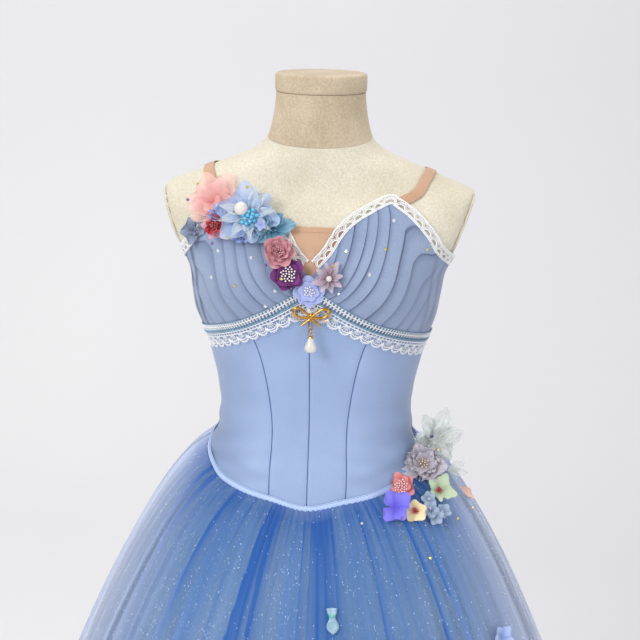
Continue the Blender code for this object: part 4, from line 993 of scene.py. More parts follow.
# %% Make the scalloped lace
SCALLOP_PITCH = 0.0152
scallops = round(braid_length / SCALLOP_PITCH)
pitch = braid_length / scallops
half_turn = np.linspace(0, math.pi, 11)
top_cord = np.linspace(0, braid_length, 600)
cords = [braid_place(top_cord, -0.0134, TRIM_RISE), braid_place(top_cord, -0.0176, TRIM_RISE - 0.0002)]
spokes, picots = [], []
for k in range(scallops):
    start = k * pitch
    for depth, low in ((0.0208, 0.0062), (0.0220, 0.0078)):
        cords.append(braid_place(start + pitch * (0.5 - 0.5 * np.cos(half_turn)),
                                 -depth - low * np.sin(half_turn), TRIM_RISE - 0.0001))
    for n in range(3):
        small = start + pitch * (n + 0.5 - 0.5 * np.cos(half_turn)) / 3
        spokes.append(braid_place(small, -0.0136 - 0.0038 * np.sin(half_turn), TRIM_RISE))
    for n in range(1, 6):
        turn_share = math.pi * n / 6
        along = start + pitch * np.array([0.5 - 0.16 * math.cos(turn_share), 0.5 - 0.46 * math.cos(turn_share)])
        down = -np.array([0.0178, 0.0212 + 0.0066 * math.sin(turn_share)])
        spokes.append(braid_place(along, down, TRIM_RISE - 0.0003))
    ring = np.linspace(0, 2 * math.pi, 9)
    spokes.append(braid_place(start + pitch * (0.5 + 0.14 * np.cos(ring)), -0.0212 + 0.0022 * np.sin(ring),
                              TRIM_RISE))
    edge = np.linspace(0.04, 0.96, 36) * math.pi
    wiggle = 0.0008 * np.sin(edge * 14)
    picots.append(braid_place(start + pitch * (0.5 - 0.5 * np.cos(edge)), -0.0232 - (0.0080 * np.sin(edge) + wiggle),
                              TRIM_RISE - 0.0002))
lace_cords = threads("scallop_cords", cords, 0.00062, lace_thread, "white_lace", replaces=["underbust_lace"])
lace_spokes = threads("scallop_spokes", spokes, 0.00040, lace_thread, "white_lace", roundness=0)
lace_picots = threads("scallop_picots", picots, 0.00048, lace_thread, "white_lace", roundness=0)
print("scallops:", scallops)

# %% [markdown]
# ## Basque binding
#
# The pointed lower edge is covered by a narrow folded band, fuller than a flat strip. It is a closed tube of
# cloth with a low crown, and a line of stitches along its upper edge.

# %% Fold the binding
BINDING_WIDTH = 0.0075


def binding_place(u, v):
    turn_angle = v * 2 * math.pi
    degrees = u * 360
    across = BINDING_WIDTH / 2 * (1 + np.cos(turn_angle))
    pull = 1 + 0.10 * np.sin(degrees * 0.9) * np.sin(degrees * 0.23)
    rise = 0.0050 + np.where(turn_angle < math.pi, 0.0017 * pull, 0.0005) * np.sin(turn_angle)
    return on_body(degrees, basque_line(degrees) + across, rise)


binding = wrap_grid("basque_band", 360, 14, binding_place)
binding_cut = (round(float(2 * walk(1, basque_line, 0, 180)[0]), 3), round(1.6 * BINDING_WIDTH, 4))
join_seam(binding)
dress_piece(binding, piping_satin, replaces=["basque_binding"], smooth_angle=60)
band_degrees = np.linspace(0, 360, 1200)
band_stitches = threads("band_stitches", dashes(on_body(band_degrees, basque_line(band_degrees) + 0.0064, 0.0061),
                                                0.0030, 0.0010), 0.00030, seam_thread, "binding_satin", roundness=0)
print("binding cut", binding_cut)

# %% [markdown]
# ## The skirt
#
# The long skirt is three gathered layers of net: a plain blue one, one with glitter, and a closed one below that
# hides the stand. Net has no thickness to speak of, so each layer is a single sheet. Its folds start as many tiny
# gathers at the seam and run together into fewer, deeper ones towards the hem.

# %% Describe the skirt
HEM_HEIGHT, HEM_HALF_WIDTH, HEM_HALF_DEPTH, FLARE_POWER, COVER = 0.360, 0.425, 0.412, 0.68, 0.0060
HEM_SHIFT = np.array([0.0003, -0.0002, 0.0])
FOLD_COUNT, HEM_FOLD_HEIGHT = 26, 0.0085


def skirt_surface(angle, share):
    top = basque_line(np.degrees(angle)) - 0.0005
    top_radius = body_radius(angle, top) + COVER
    hem = ((np.sin(angle) / HEM_HALF_WIDTH) ** 2 + (np.cos(angle) / HEM_HALF_DEPTH) ** 2) ** -0.5
    radius = top_radius + (hem - top_radius) * np.clip(share, 0, 2) ** FLARE_POWER
    return polar(angle, radius, top + (HEM_HEIGHT - top) * share) + HEM_SHIFT * np.asarray(share)[..., None]


def skirt_normal(angle, share):
    along = skirt_surface(angle + 0.02, share) - skirt_surface(angle - 0.02, share)
    down = skirt_surface(angle, np.minimum(share + 0.01, 1.0)) - skirt_surface(angle, np.maximum(share - 0.01, 0.0))
    normal = np.cross(down, along)
    return normal / np.linalg.norm(normal, axis=-1, keepdims=True)


def fold_phase(angle, share, count, seed):
    """Where a point lies in its fold, from 0 to 1; folds wander a little on their way down."""
    wander = (0.45 * np.sin(angle * 3 + seed) + 0.30 * np.sin(angle * 7 + 2.1 * seed)
              + 0.22 * np.sin(angle * 13 + 3.7 * seed) + 0.10 * np.sin(share * 4 + angle * 5 + seed))
    return angle / (2 * math.pi) * count + wander


def wrap_fold(phase, sharp=0.75):
    """A rounded fold with a narrow valley."""
    return np.abs(np.sin(math.pi * phase)) ** sharp * 2 - 1.1


def skirt_rise(angle, share, seed, scale):
    deep = wrap_fold(fold_phase(angle, share, FOLD_COUNT, seed)) * HEM_FOLD_HEIGHT * share**0.8
    middle = wrap_fold(fold_phase(angle, share, 61, seed + 5), 0.9) * 0.0016 * np.clip(share * 3, 0, 1)
    tall = np.exp(-(share / (0.10 + 0.10 * np.sin(angle * 9 + seed) ** 2)) ** 2)
    gathers = wrap_fold(fold_phase(angle, share, 124, seed + 9), 0.9) * 0.0013 * tall
    return scale * (0.62 * deep + middle + gathers)


print("skirt at the hem:", np.round(skirt_surface(np.array([0.0, math.pi / 2]), np.array([1.0, 1.0])), 3).tolist())

# %% [markdown]
# ## Net finishes
#
# Where net folds over itself it looks denser and a deeper blue, with one crisp edge and one soft edge. That
# density is kept as an attribute on the sheet and drives both the colour and how much the net lets through. Seen
# edge-on, the net is painted paler, a painted sheen. The glitter is a scatter of tiny flecks that glow, painted
# glints, one in some of the cells of a Voronoi pattern.

# %% Make the net and glitter
glitter, glitter_in, glitter_out = new_group("glitter_flecks", [("Vector", VECTOR, None), ("Cells", FLOAT, 260.0),
                                                               ("Share", FLOAT, 0.3)], [("Mask", FLOAT)])
cells = add_node(glitter, "ShaderNodeTexVoronoi", {"Vector": glitter_in.outputs["Vector"],
                                                   "Scale": glitter_in.outputs["Cells"]})
small = add_node(glitter, "ShaderNodeMath", {0: cells.outputs["Distance"], 1: 0.24}, operation="LESS_THAN")
chosen = add_node(glitter, "ShaderNodeSeparateColor", {0: cells.outputs["Color"]})
some = add_node(glitter, "ShaderNodeMath", {0: chosen.outputs[0], 1: glitter_in.outputs["Share"]},
                operation="LESS_THAN")
fleck_mask = add_node(glitter, "ShaderNodeMath", {0: small.outputs[0], 1: some.outputs[0]}, operation="MULTIPLY")
glitter.links.new(fleck_mask.outputs[0], glitter_out.inputs["Mask"])


def net_material(name, thin_light, thin_dark, dense, edge, alpha_thin, alpha_dense, flecks, cells_scale, glow):
    material, shader = cloth_material(name, thin_light, thin_dark, patch=6, fleck=300, flecks=0.4, threads=900,
                                      bump=0.1, roughness=0.8, sheen=0.2, specular=0.2)
    shade_by_attribute(material, shader, "net_density", dense)
    tree = material.node_tree
    # Painted sheen: where the sheet's broad surface is seen edge-on, its colour is painted paler, towards the edge
    # colour.
    broad = add_node(tree, "ShaderNodeAttribute", attribute_name="broad_normal")
    slant = add_node(tree, "ShaderNodeLayerWeight", {"Blend": 0.5, "Normal": broad.outputs["Vector"]})
    seen_edge_on = add_node(tree, "ShaderNodeMapRange", {"Value": slant.outputs["Facing"], "From Min": 0.20,
                                                         "From Max": 0.74, "To Max": 0.90})
    edge_on_sheen = add_node(tree, "ShaderNodeMix", {"Factor": seen_edge_on.outputs[0]}, data_type="RGBA")
    tree.links.new(shader.inputs["Base Color"].links[0].from_socket, edge_on_sheen.inputs[6])
    edge_on_sheen.inputs[7].default_value = edge
    tree.links.new(edge_on_sheen.outputs[2], shader.inputs["Base Color"])
    sparkle = add_node(tree, "ShaderNodeGroup", node_tree=glitter)
    tree.links.new(add_node(tree, "ShaderNodeTexCoord").outputs["Object"], sparkle.inputs["Vector"])
    sparkle.inputs["Cells"].default_value = cells_scale
    sparkle.inputs["Share"].default_value = flecks
    density = add_node(tree, "ShaderNodeAttribute", attribute_name="net_density")
    see = add_node(tree, "ShaderNodeMapRange", {"Value": density.outputs["Fac"], "To Min": alpha_thin,
                                                "To Max": alpha_dense})
    solid = add_node(tree, "ShaderNodeMath", {0: see.outputs[0], 1: sparkle.outputs["Mask"]}, operation="MAXIMUM")
    if alpha_thin < 1.0:
        tree.links.new(solid.outputs[0], shader.inputs["Alpha"])
    # Painted glints: the glitter flecks glow on their own, though they are no lamp.
    glint_glow = add_node(tree, "ShaderNodeMix", {"Factor": sparkle.outputs["Mask"]}, data_type="RGBA")
    glint_glow.inputs[6].default_value = (0, 0, 0, 1)
    glint_glow.inputs[7].default_value = (0.92, 0.96, 1.0, 1)
    tree.links.new(glint_glow.outputs[2], shader.inputs["Emission Color"])
    shader.inputs["Emission Strength"].default_value = glow
    return material


blue_net = net_material("blue_net", srgb(158, 188, 224), srgb(124, 164, 212), srgb(42, 94, 170), srgb(204, 214, 238),
                        0.20, 0.92, 0.02, 640, 1.4)
glitter_net = net_material("glitter_net", srgb(138, 166, 200), srgb(108, 148, 196), srgb(62, 118, 190),
                           srgb(186, 198, 220), 0.50, 0.88, 0.10, 640, 1.5)
under_net = net_material("under_net", srgb(138, 164, 196), srgb(104, 140, 184), srgb(44, 92, 158),
                         srgb(196, 204, 220), 1.0, 1.0, 0.02, 560, 0.3)
print("net finishes:", [blue_net.name, glitter_net.name, under_net.name])


# %% [markdown]
# The three layers come from one helper with its own number of folds, gap and wandering for each, so that the
# valleys of one layer do not lie on the valleys of the next.


def lap(phase, width):
    """One lap of net: a crisp edge on one side, fading out on the other."""
    return np.clip(1 - (phase % 1.0) / width, 0, 1) ** 0.7


def density_of(angle, share, seed):
    """Denser where the net laps over itself, and near the gathers at the top."""
    wide = lap(fold_phase(angle, share, 23, seed), 0.60) * (0.30 + 0.70 * np.sin(angle * 5.5 + seed) ** 2)
    middle = lap(fold_phase(angle, share, 47, seed + 3), 0.50) * (0.30 + 0.70 * np.sin(angle * 8 + 2 * seed) ** 2)
    narrow = lap(fold_phase(angle, share, 83, seed + 6), 0.35) * (0.20 + 0.50 * np.exp(-share / 0.30))
    patch = 0.5 + 0.5 * np.sin(angle * 4 + share * 2.0 + seed) * np.sin(angle * 9 + 1.3 * seed)
    gathered = 0.45 * np.exp(-share / 0.07)
    return np.clip(np.maximum(wide, middle) * 0.95 + narrow * 0.50 + 0.15 * patch + gathered - 0.06, 0, 1)


def skirt_piece(name, columns, rows, seed, scale, top_gap, hem_gap, material, node):
    def place(u, v):
        angle, share = u * 2 * math.pi, v ** 1.15
        gap = top_gap + (hem_gap - top_gap) * share**0.8
        rise = skirt_rise(angle, share, seed, scale) - gap
        tuck = np.clip(1 - share / 0.012, 0, 1)
        points = skirt_surface(angle, share) + skirt_normal(angle, share) * (rise - 0.0017 * tuck)[:, None]
        points[:, 2] += 0.0042 * tuck
        points[:, 2] = np.where(v > 0.999, HEM_HEIGHT, np.maximum(points[:, 2], HEM_HEIGHT))
        return points

    layer = wrap_grid(name, columns, rows, place)
    cut = measured_cut(layer, columns, rows)
    grid_u = np.tile(np.linspace(0, 1, columns + 1), rows + 1)
    grid_v = np.repeat(np.linspace(0, 1, rows + 1), columns + 1)
    keep_attribute(layer, "net_density", density_of(grid_u * 2 * math.pi, grid_v ** 1.15, seed))
    broad = layer.data.attributes.new("broad_normal", "FLOAT_VECTOR", "POINT")
    outward = skirt_normal(grid_u * 2 * math.pi, grid_v ** 1.15)
    broad.data.foreach_set("vector", np.ascontiguousarray(outward, dtype=np.float32).ravel())
    join_seam(layer)
    dress_piece(layer, material, replaces=[node], smooth_angle=80)
    print(name, "cut", cut, "faces", len(layer.data.polygons))
    return layer


net_under = skirt_piece("net_under", 360, 30, 3.0, 0.55, 0.0052, 0.024, under_net, "skirt_under")
net_glitter = skirt_piece("net_glitter", 520, 36, 1.7, 0.80, 0.0030, 0.0115, glitter_net,
                          "skirt_glitter")
net_outer = skirt_piece("net_outer", 780, 56, 0.4, 1.0, 0.0, 0.0, blue_net, "skirt_outer")

# %% [markdown]
# ## Petals
#
# Every flower here is made of single petals, so one petal is shaped from a grid: a width that swells and closes
# again, a cupped middle, a curl towards the tip and a ruffled edge. Copies of it are turned round a centre in
# rings. A few loose numbers per copy keep the rings from looking stamped.

# %% Petal and bead helpers
def cover_point(degrees, height, rise, facing=None):
    """A point on the dress's outside, raised by rise, and its outward direction."""
    angle = math.radians(degrees)

    def cover(a, z):
        top = float(basque_line(math.degrees(a)))
        if z > top:
            return polar(a, float(body_radius(a, z)) + COVER, z)
        return skirt_surface(np.array(a), np.array(min((top - z) / (top - HEM_HEIGHT), 1.0)))

    point = cover(angle, height)
    along = cover(angle + 0.01, height) - cover(angle - 0.01, height)
    up = cover(angle, height + 0.002) - cover(angle, height - 0.002)
    outward = Vector(np.cross(along, up)).normalized() if facing is None else Vector(facing).normalized()
    return Vector(point) + outward * rise, outward


def stand_on(point, outward, spin=0.0):
    """A matrix that puts a flat flower at a point with its back to the cloth."""
    up = Vector((0, 0, 1))
    side = up.cross(outward).normalized()
    level = outward.cross(side)
    frame_matrix = Matrix((side, level, outward)).transposed().to_4x4()
    return Matrix.Translation(point) @ frame_matrix @ Matrix.Rotation(spin, 4, "Z")


def shape_petal(length, width, cup=0.2, curl=0.15, ruffle=0.0, waves=3, point=0.0, columns=8, rows=8):
    """One petal that lies along +Y from the centre, with its face to +Z."""
    def place(u, v):
        across = 2 * u - 1
        grow = 0.14 + 0.86 * np.sin(math.pi / 2 * np.clip(v / 0.68, 0, 1))
        swell = grow * (1 - (0.32 + 0.66 * point) * np.clip((v - 0.45) / 0.55, 0, 1) ** 2)
        x = across * width / 2 * swell
        y = length * v * (1 - (0.34 - 0.24 * point) * across**2 * v**1.5)
        z = (cup * length * across**2 * swell * 0.5 + curl * length * v**2
             + ruffle * length * np.sin(across * math.pi * waves / 2 + v * 2) * v * (0.4 + 0.6 * np.abs(across)))
        return np.stack([x, y, z], axis=-1)

    return wrap_grid("petal_pattern", columns, rows, place)


def copy_and_join(pattern, matrices, name):
    """Copy a pattern, each copy with its own mesh, put the copies in place, and join them as one piece."""
    copies = []
    for matrix in matrices:
        copy = pattern.copy()
        copy.data = pattern.data.copy()
        bpy.context.scene.collection.objects.link(copy)
        copy.data.transform(matrix)
        copies.append(copy)
    bpy.data.objects.remove(pattern, do_unlink=True)
    select_only(*copies)
    if len(copies) > 1:
        bpy.ops.object.join()
    joined = bpy.context.object
    joined.name = joined.data.name = name
    return joined


def ring_of(count, tilt, out=0.0, lift=0.0, size=1.0, start=0.0, loose=0.10):
    """Places for the petals of one ring; tilt raises the tips, out moves the roots from the centre."""
    places = []
    for k in range(count):
        around = start + 2 * math.pi * (k + random.uniform(-loose, loose)) / count
        raise_tip = tilt + random.uniform(-loose, loose)
        scale = size * (1 + random.uniform(-loose, loose))
        places.append(Matrix.Rotation(around, 4, "Z") @ Matrix.Translation((0, out, lift))
                      @ Matrix.Rotation(raise_tip, 4, "X") @ Matrix.Rotation(random.uniform(-loose, loose), 4, "Y")
                      @ Matrix.Diagonal((scale, scale, scale, 1)))
    return places


def petals_piece(name, where, pattern, rings, material, replaces=(), thickness=None):
    flower_piece = copy_and_join(pattern, [where @ m for ring in rings for m in ring], name)
    flower_piece.data.validate()
    return dress_piece(flower_piece, material, replaces=replaces, thickness=thickness, smooth_angle=80)


def bead_cluster(name, where, radius, count, spread, lift, material, slot, dome=0.4, stalk=True):
    """Small beads over a centre, packed by the golden angle, on short threads if they are stamens."""
    select_only()
    bpy.ops.mesh.primitive_ico_sphere_add(subdivisions=2 if radius > 0.0015 else 1, radius=radius, location=(0, 0, 0))
    bead = bpy.context.object
    places, stalks = [], []
    for k in range(count):
        reach, around = spread * math.sqrt((k + 0.5) / count), k * 2.39996
        spot = Vector((reach * math.cos(around), reach * math.sin(around),
                       lift + dome * (spread - reach) + random.uniform(-0.3, 0.3) * radius))
        places.append(where @ Matrix.Translation(spot))
        stalks.append(np.array([tuple(where @ (spot * 0.2)), tuple(where @ spot)]))
    cluster = copy_and_join(bead, places, name)
    dress_piece(cluster, material, smooth_angle=80)
    if stalk:
        threads(name + "_stalks", stalks, 0.00025, material, slot, roundness=0)
    return cluster


print("petal helpers ready")

# %% [markdown]
# ## Petal finishes
#
# A cloth petal is darkest where it is gathered at its root and palest at its rim, and fine creases run along it,
# each one a bump and also a line of painted shade. Both follow the petal's own UV map, so every copy is shaded the
# same way round, however it is turned.

# %% Make the petal finishes


def petal_finish(name, rim, root, alpha=1.0, creases=5.0, roughness=0.7, sheen=0.3, root_reach=0.7):
    material, shader = cloth_material(name, rim, rim, patch=60, fleck=900, flecks=0.4, threads=1500, bump=0.15,
                                      roughness=roughness, sheen=sheen, specular=0.25)
    tree = material.node_tree
    spot = add_node(tree, "ShaderNodeTexCoord").outputs["UV"]
    split = add_node(tree, "ShaderNodeSeparateXYZ", {0: spot})
    near_root = add_node(tree, "ShaderNodeMapRange", {"Value": split.outputs["Y"], "From Min": 0.05,
                                                      "From Max": root_reach, "To Min": 0.85, "To Max": 0.0})
    lines = add_node(tree, "ShaderNodeTexWave", {"Vector": spot, "Scale": creases, "Distortion": 1.2},
                     bands_direction="X")
    # Painted shade: each crease line is painted a little darker as well as bumped.
    crease_line_shade = add_node(tree, "ShaderNodeMath", {0: lines.outputs["Fac"], 1: 0.16}, operation="MULTIPLY")
    depth = add_node(tree, "ShaderNodeMath", {0: near_root.outputs[0], 1: crease_line_shade.outputs[0]}, operation="ADD")
    shaded = add_node(tree, "ShaderNodeMix", {"Factor": depth.outputs[0]}, data_type="RGBA")
    tree.links.new(shader.inputs["Base Color"].links[0].from_socket, shaded.inputs[6])
    shaded.inputs[7].default_value = root
    tree.links.new(shaded.outputs[2], shader.inputs["Base Color"])
    relief = add_node(tree, "ShaderNodeBump", {"Height": lines.outputs["Fac"], "Strength": 0.25,
                                               "Distance": 0.0006})
    tree.links.new(relief.outputs["Normal"], shader.inputs["Normal"])
    if alpha < 1.0:
        see = add_node(tree, "ShaderNodeMapRange", {"Value": depth.outputs[0], "To Min": alpha, "To Max": 1.0})
        tree.links.new(see.outputs[0], shader.inputs["Alpha"])
    return material


def gem_finish(name, colour, metallic=0.55, roughness=0.08):
    material, shader = cloth_material(name, colour, colour, patch=400, flecks=0.2, threads=40, bump=0.0,
                                      roughness=roughness, specular=0.8, metallic=metallic, coat=0.6)
    return material


pearl_finish, _ = cloth_material("pearl_shell", srgb(226, 221, 212), srgb(204, 201, 200), patch=30,
                                            flecks=0.2, threads=30, bump=0.0, roughness=0.22, specular=0.55,
                                            coat=0.5)
gold_finish, _ = cloth_material("gold_metal", srgb(226, 176, 84), srgb(196, 140, 54), patch=120, fleck=900,
                                flecks=0.5, threads=60, bump=0.0, roughness=0.22, metallic=1.0)
clear_gem = gem_finish("clear_gem", srgb(228, 232, 240))
gold_gem = gem_finish("gold_gem", srgb(232, 210, 96))
violet_gem = gem_finish("violet_gem", srgb(150, 130, 196))
navy_gem = gem_finish("navy_gem", srgb(40, 48, 108), metallic=0.2)
green_gem = gem_finish("green_gem", srgb(96, 214, 170), metallic=0.2)
pearly_bead, _ = cloth_material("seed_bead", srgb(250, 247, 240), srgb(238, 232, 228), patch=300, flecks=0.2,
                                threads=60, bump=0.0, roughness=0.3, specular=0.5)
pink_bead, _ = cloth_material("stamen_pink", srgb(246, 214, 214), srgb(226, 150, 166), patch=500, flecks=0.2,
                              threads=60, bump=0.0, roughness=0.4)
cream_bead, _ = cloth_material("stamen_cream", srgb(250, 226, 190), srgb(238, 200, 160), patch=500, flecks=0.2,
                               threads=60, bump=0.0, roughness=0.4)
cyan_bead, _ = cloth_material("cyan_bead", srgb(110, 206, 240), srgb(60, 166, 216), patch=300, flecks=0.2,
                              threads=60, bump=0.0, roughness=0.15, specular=0.7)
crimson_bead, _ = cloth_material("stamen_crimson", srgb(206, 70, 100), srgb(160, 50, 80), patch=500, flecks=0.2,
                                 threads=60, bump=0.0, roughness=0.4)
print("bead and gem finishes:", len(bpy.data.materials))

# %% [markdown]
# ## Places from the photograph
#
# Each flower and stone was noted where its middle sits in the photograph. A ray from the camera through that spot
# finds the cloth, and the flower is lifted from there straight towards the camera, so its middle stays on the ray.

# %% Find places on the cloth
bpy.context.view_layer.update()
front_cloth = [cups["left"], cups["right"], insert, torso, net_outer, binding] + bodice_pieces


def meet_cloth(x, y, pieces):
    """The nearest point and outward direction where the ray through a photo pixel meets the pieces."""
    direction, best = pixel_ray(x, y), None
    for piece in pieces:
        hit, point, normal, _ = piece.ray_cast(eye, direction)
        if hit and (best is None or (point - eye).length < best[0]):
            best = ((point - eye).length, point, normal if normal.dot(direction) < 0 else -normal)
    return best[1:] if best else None


def flower_place(x, y, rise, towards_camera=0.35, spin=0.0, near=None):
    """Where a flower goes: the spot on the cloth, raised, and turned partly towards the camera."""
    direction = pixel_ray(x, y)
    found = meet_cloth(x, y, front_cloth)
    if found is None or near is not None:
        point = eye + direction * (Vector(near) - eye).dot(direction)
        normal = Vector((near[0], near[1], 0)).normalized()
    else:
        point, normal = found
    facing = (normal * (1 - towards_camera) - direction * towards_camera).normalized()
    return stand_on(point - direction * rise, facing, spin)


print("middle of the bow's ray meets cloth:", meet_cloth(310, 316, front_cloth) is not None)

# %% [markdown]
# ## Flowers of the shoulder
#
# The two large flowers are organza, thin enough to see one petal through the next; the coral one gets three rings and
# the blue one two, with loose wisps.
# The small ones are firmer cloth with fewer petals and a bunch of stamens.

# %% Sew the shoulder flowers
coral = flower_place(213.5, 203, 0.0060, spin=0.42)
coral_finish = petal_finish("coral_organza", srgb(248, 208, 200), srgb(236, 150, 148), alpha=0.52)
petals_piece("coral_petals", coral, shape_petal(0.0355, 0.034, cup=0.14, curl=0.06, ruffle=0.06, waves=3),
             [ring_of(6, 0.10, out=0.003, loose=0.16),
              ring_of(5, 0.36, out=0.002, lift=0.0015, size=0.80, start=0.5, loose=0.16),
              ring_of(3, 0.75, out=0.001, lift=0.0025, size=0.52, start=0.2)],
             coral_finish, ["coral_organza_flower"])

blue = flower_place(248.5, 216, 0.0080, 0.30, spin=0.26)
blue_finish = petal_finish("blue_organza", srgb(190, 208, 240), srgb(158, 182, 228), alpha=0.70)
petals_piece("blue_petals", blue, shape_petal(0.038, 0.033, cup=0.20, curl=0.12, ruffle=0.05, waves=4),
             [ring_of(6, 0.14, out=0.003), ring_of(5, 0.50, out=0.003, lift=0.002, size=0.60, start=0.4)],
             blue_finish, ["blue_organza_flower"])
wisp_finish = petal_finish("aqua_wisp", srgb(238, 246, 246), srgb(216, 232, 238), alpha=0.45, creases=8)
petals_piece("blue_wisps", blue, shape_petal(0.036, 0.013, cup=0.30, curl=0.10, ruffle=0.10, waves=5, point=0.6),
             [[Matrix.Rotation(math.radians(a), 4, "Z") @ Matrix.Translation((0, 0.003, 0.003))
               @ Matrix.Rotation(t, 4, "X") for a, t in
               ((-58, 0.4), (-34, 0.3), (62, 0.4), (92, 0.3), (135, 0.35), (175, 0.4), (-140, 0.35), (-100, 0.4))]],
             wisp_finish)
lower_finish = petal_finish("periwinkle_ruffle", srgb(178, 196, 240), srgb(120, 150, 214), alpha=0.9)
petals_piece("blue_lower_ruffle", flower_place(244, 226, 0.0050, 0.3),
             shape_petal(0.024, 0.019, cup=0.25, curl=0.16, ruffle=0.16, waves=5),
             [[Matrix.Rotation(math.radians(a), 4, "Z") @ Matrix.Rotation(0.2, 4, "X")
               for a in (118, 146, 174, 202, 230)]], lower_finish)
bead_cluster("blue_heart", flower_place(250, 218, 0.0190, 0.5), 0.0025, 13, 0.0105, 0.001, cyan_bead, "flower_blue",
             dome=0.4, stalk=False)

turquoise_finish = petal_finish("turquoise_silk", srgb(150, 194, 218), srgb(30, 118, 152), root_reach=0.8, alpha=0.92)
petals_piece("turquoise_petals", flower_place(272, 229, 0.0050, spin=0.5),
             shape_petal(0.0235, 0.019, cup=0.25, curl=0.16, ruffle=0.20, waves=6),
             [ring_of(7, 0.22, out=0.001, loose=0.25), ring_of(4, 0.80, out=0.001, lift=0.001, size=0.6, loose=0.3)],
             turquoise_finish, ["turquoise_ruffle"])

crimson = flower_place(215.5, 226.5, 0.0125, 0.45, spin=0.2)
crimson_finish = petal_finish("crimson_silk", srgb(232, 84, 104), srgb(160, 24, 52), root_reach=0.8)
crimson_rim = petal_finish("crimson_organza", srgb(236, 184, 194), srgb(210, 110, 130), alpha=0.6)
petals_piece("crimson_petals", crimson, shape_petal(0.0140, 0.0110, cup=0.30, curl=0.18, ruffle=0.22, waves=5),
             [ring_of(7, 0.45, loose=0.25), ring_of(5, 0.90, lift=0.001, size=0.7, start=0.4, loose=0.3)],
             crimson_finish, ["crimson_flower"])
petals_piece("crimson_outer", crimson, shape_petal(0.0185, 0.016, cup=0.16, curl=0.05, ruffle=0.05),
             [ring_of(5, 0.10)], crimson_rim)
bead_cluster("crimson_stamens", crimson, 0.0008, 12, 0.0055, 0.0075, cream_bead, "flower_crimson")

slate_finish = petal_finish("slate_silk", srgb(152, 164, 188), srgb(96, 108, 136))
petals_piece("slate_petals", flower_place(194.5, 230, 0.0050, 0.3, spin=0.6),
             shape_petal(0.0165, 0.0135, cup=0.25, curl=0.10, ruffle=0.10, waves=4),
             [ring_of(5, 0.20, loose=0.2), ring_of(4, 0.75, size=0.6, lift=0.001)], slate_finish,
             ["grey_blue_petals"])
side_finish = petal_finish("periwinkle_organza", srgb(184, 196, 238), srgb(138, 152, 218), alpha=0.85)
petals_piece("periwinkle_wisps", flower_place(223, 219, 0.0140, 0.4),
             shape_petal(0.021, 0.011, cup=0.3, curl=0.10, ruffle=0.14, waves=4, point=0.5),
             [[Matrix.Rotation(math.radians(a), 4, "Z") @ Matrix.Rotation(0.25, 4, "X") for a in (84, 62, 38, 14)]],
             side_finish)
petals_piece("small_periwinkle", flower_place(261, 225, 0.0200, 0.5, spin=0.4),
             shape_petal(0.0078, 0.0080, cup=0.2, curl=0.1), [ring_of(5, 0.3)], side_finish)
print("shoulder flowers: large 2, small 6")

# %% [markdown]
# Four more flowers run down the edge of the cup to the centre. The dusty rose is many narrow ruffles, the plum
# flower five broad petals, the periwinkle one nearly a disc, and the mauve one a star of creased petals.

# %% Sew the neckline flowers
dusty = flower_place(279, 252, 0.0100, 0.45)
dusty_finish = petal_finish("dusty_rose_silk", srgb(224, 162, 170), srgb(146, 58, 78), root_reach=0.9, alpha=0.95)
petals_piece("dusty_petals", dusty, shape_petal(0.0205, 0.0260, cup=0.22, curl=0.12, ruffle=0.10, waves=6),
             [ring_of(7, 0.18), ring_of(7, 0.50, size=0.78, lift=0.001, start=0.4),
              ring_of(6, 0.85, size=0.55, lift=0.002, start=0.1, loose=0.2)], dusty_finish,
             ["dusty_rose_flower"])
bead_cluster("dusty_stamens", dusty, 0.0008, 16, 0.0060, 0.0095, pink_bead, "flower_coral")

plum = flower_place(287.5, 275, 0.0060, 0.45, spin=0.3)
plum_finish = petal_finish("plum_silk", srgb(124, 54, 128), srgb(62, 14, 72), root_reach=0.9, roughness=0.55)
petals_piece("plum_petals", plum, shape_petal(0.0215, 0.0270, cup=0.20, curl=0.08, ruffle=0.04, waves=3),
             [ring_of(5, 0.10), ring_of(4, 0.34, size=0.74, lift=0.001, start=0.6)], plum_finish,
             ["purple_flower"])
bead_cluster("plum_stamens", plum, 0.00125, 26, 0.0094, 0.0078, pearly_bead, "flower_purple", dome=0.10,
             stalk=False)

disc = flower_place(309, 291.5, 0.0085, 0.45, spin=0.1)
disc_finish = petal_finish("periwinkle_silk", srgb(170, 182, 228), srgb(150, 160, 216))
petals_piece("periwinkle_petals", disc, shape_petal(0.0190, 0.0250, cup=0.04, curl=0.04, ruffle=0.02),
             [ring_of(8, 0.04, loose=0.05), ring_of(6, 0.16, size=0.70, lift=0.0008, start=0.3, loose=0.05)],
             disc_finish, ["periwinkle_flower"])
bead_cluster("periwinkle_stamens", disc, 0.0012, 15, 0.0064, 0.0040, pearly_bead, "flower_blue", dome=0.1, stalk=False)

mauve = flower_place(329, 278.5, 0.0055, 0.45, spin=0.26)
mauve_finish = petal_finish("mauve_silk", srgb(208, 192, 206), srgb(142, 104, 124), creases=7, alpha=0.85)
petals_piece("mauve_petals", mauve, shape_petal(0.0205, 0.0120, cup=0.40, curl=0.04, ruffle=0.05, waves=4),
             [ring_of(8, 0.12, loose=0.12)], mauve_finish, ["mauve_flower"])
print("neckline flowers: 4")

# %% [markdown]
# ## Flowers of the hip
#
# The hip bunch starts with ragged ivory organza that stands off the dress, then a dense grey ruffle, and five
# small firm flowers below them. All of them face partly towards the camera.

# %% Sew the hip flowers
ivory = flower_place(434, 439, 0.0, 0.55, spin=0.2, near=(0.166, -0.020, 0.974))
ivory_finish = petal_finish("ivory_organza", srgb(238, 242, 240), srgb(216, 222, 218), alpha=0.36, creases=9)
petals_piece("ivory_petals", ivory, shape_petal(0.040, 0.027, cup=0.18, curl=0.08, ruffle=0.14, waves=8, point=0.5),
             [ring_of(7, 0.10, loose=0.25), ring_of(7, 0.35, size=0.80, lift=0.002, start=0.4, loose=0.25),
              ring_of(4, 0.70, size=0.50, lift=0.003, loose=0.3)], ivory_finish,
             ["ivory_organza_flower"])

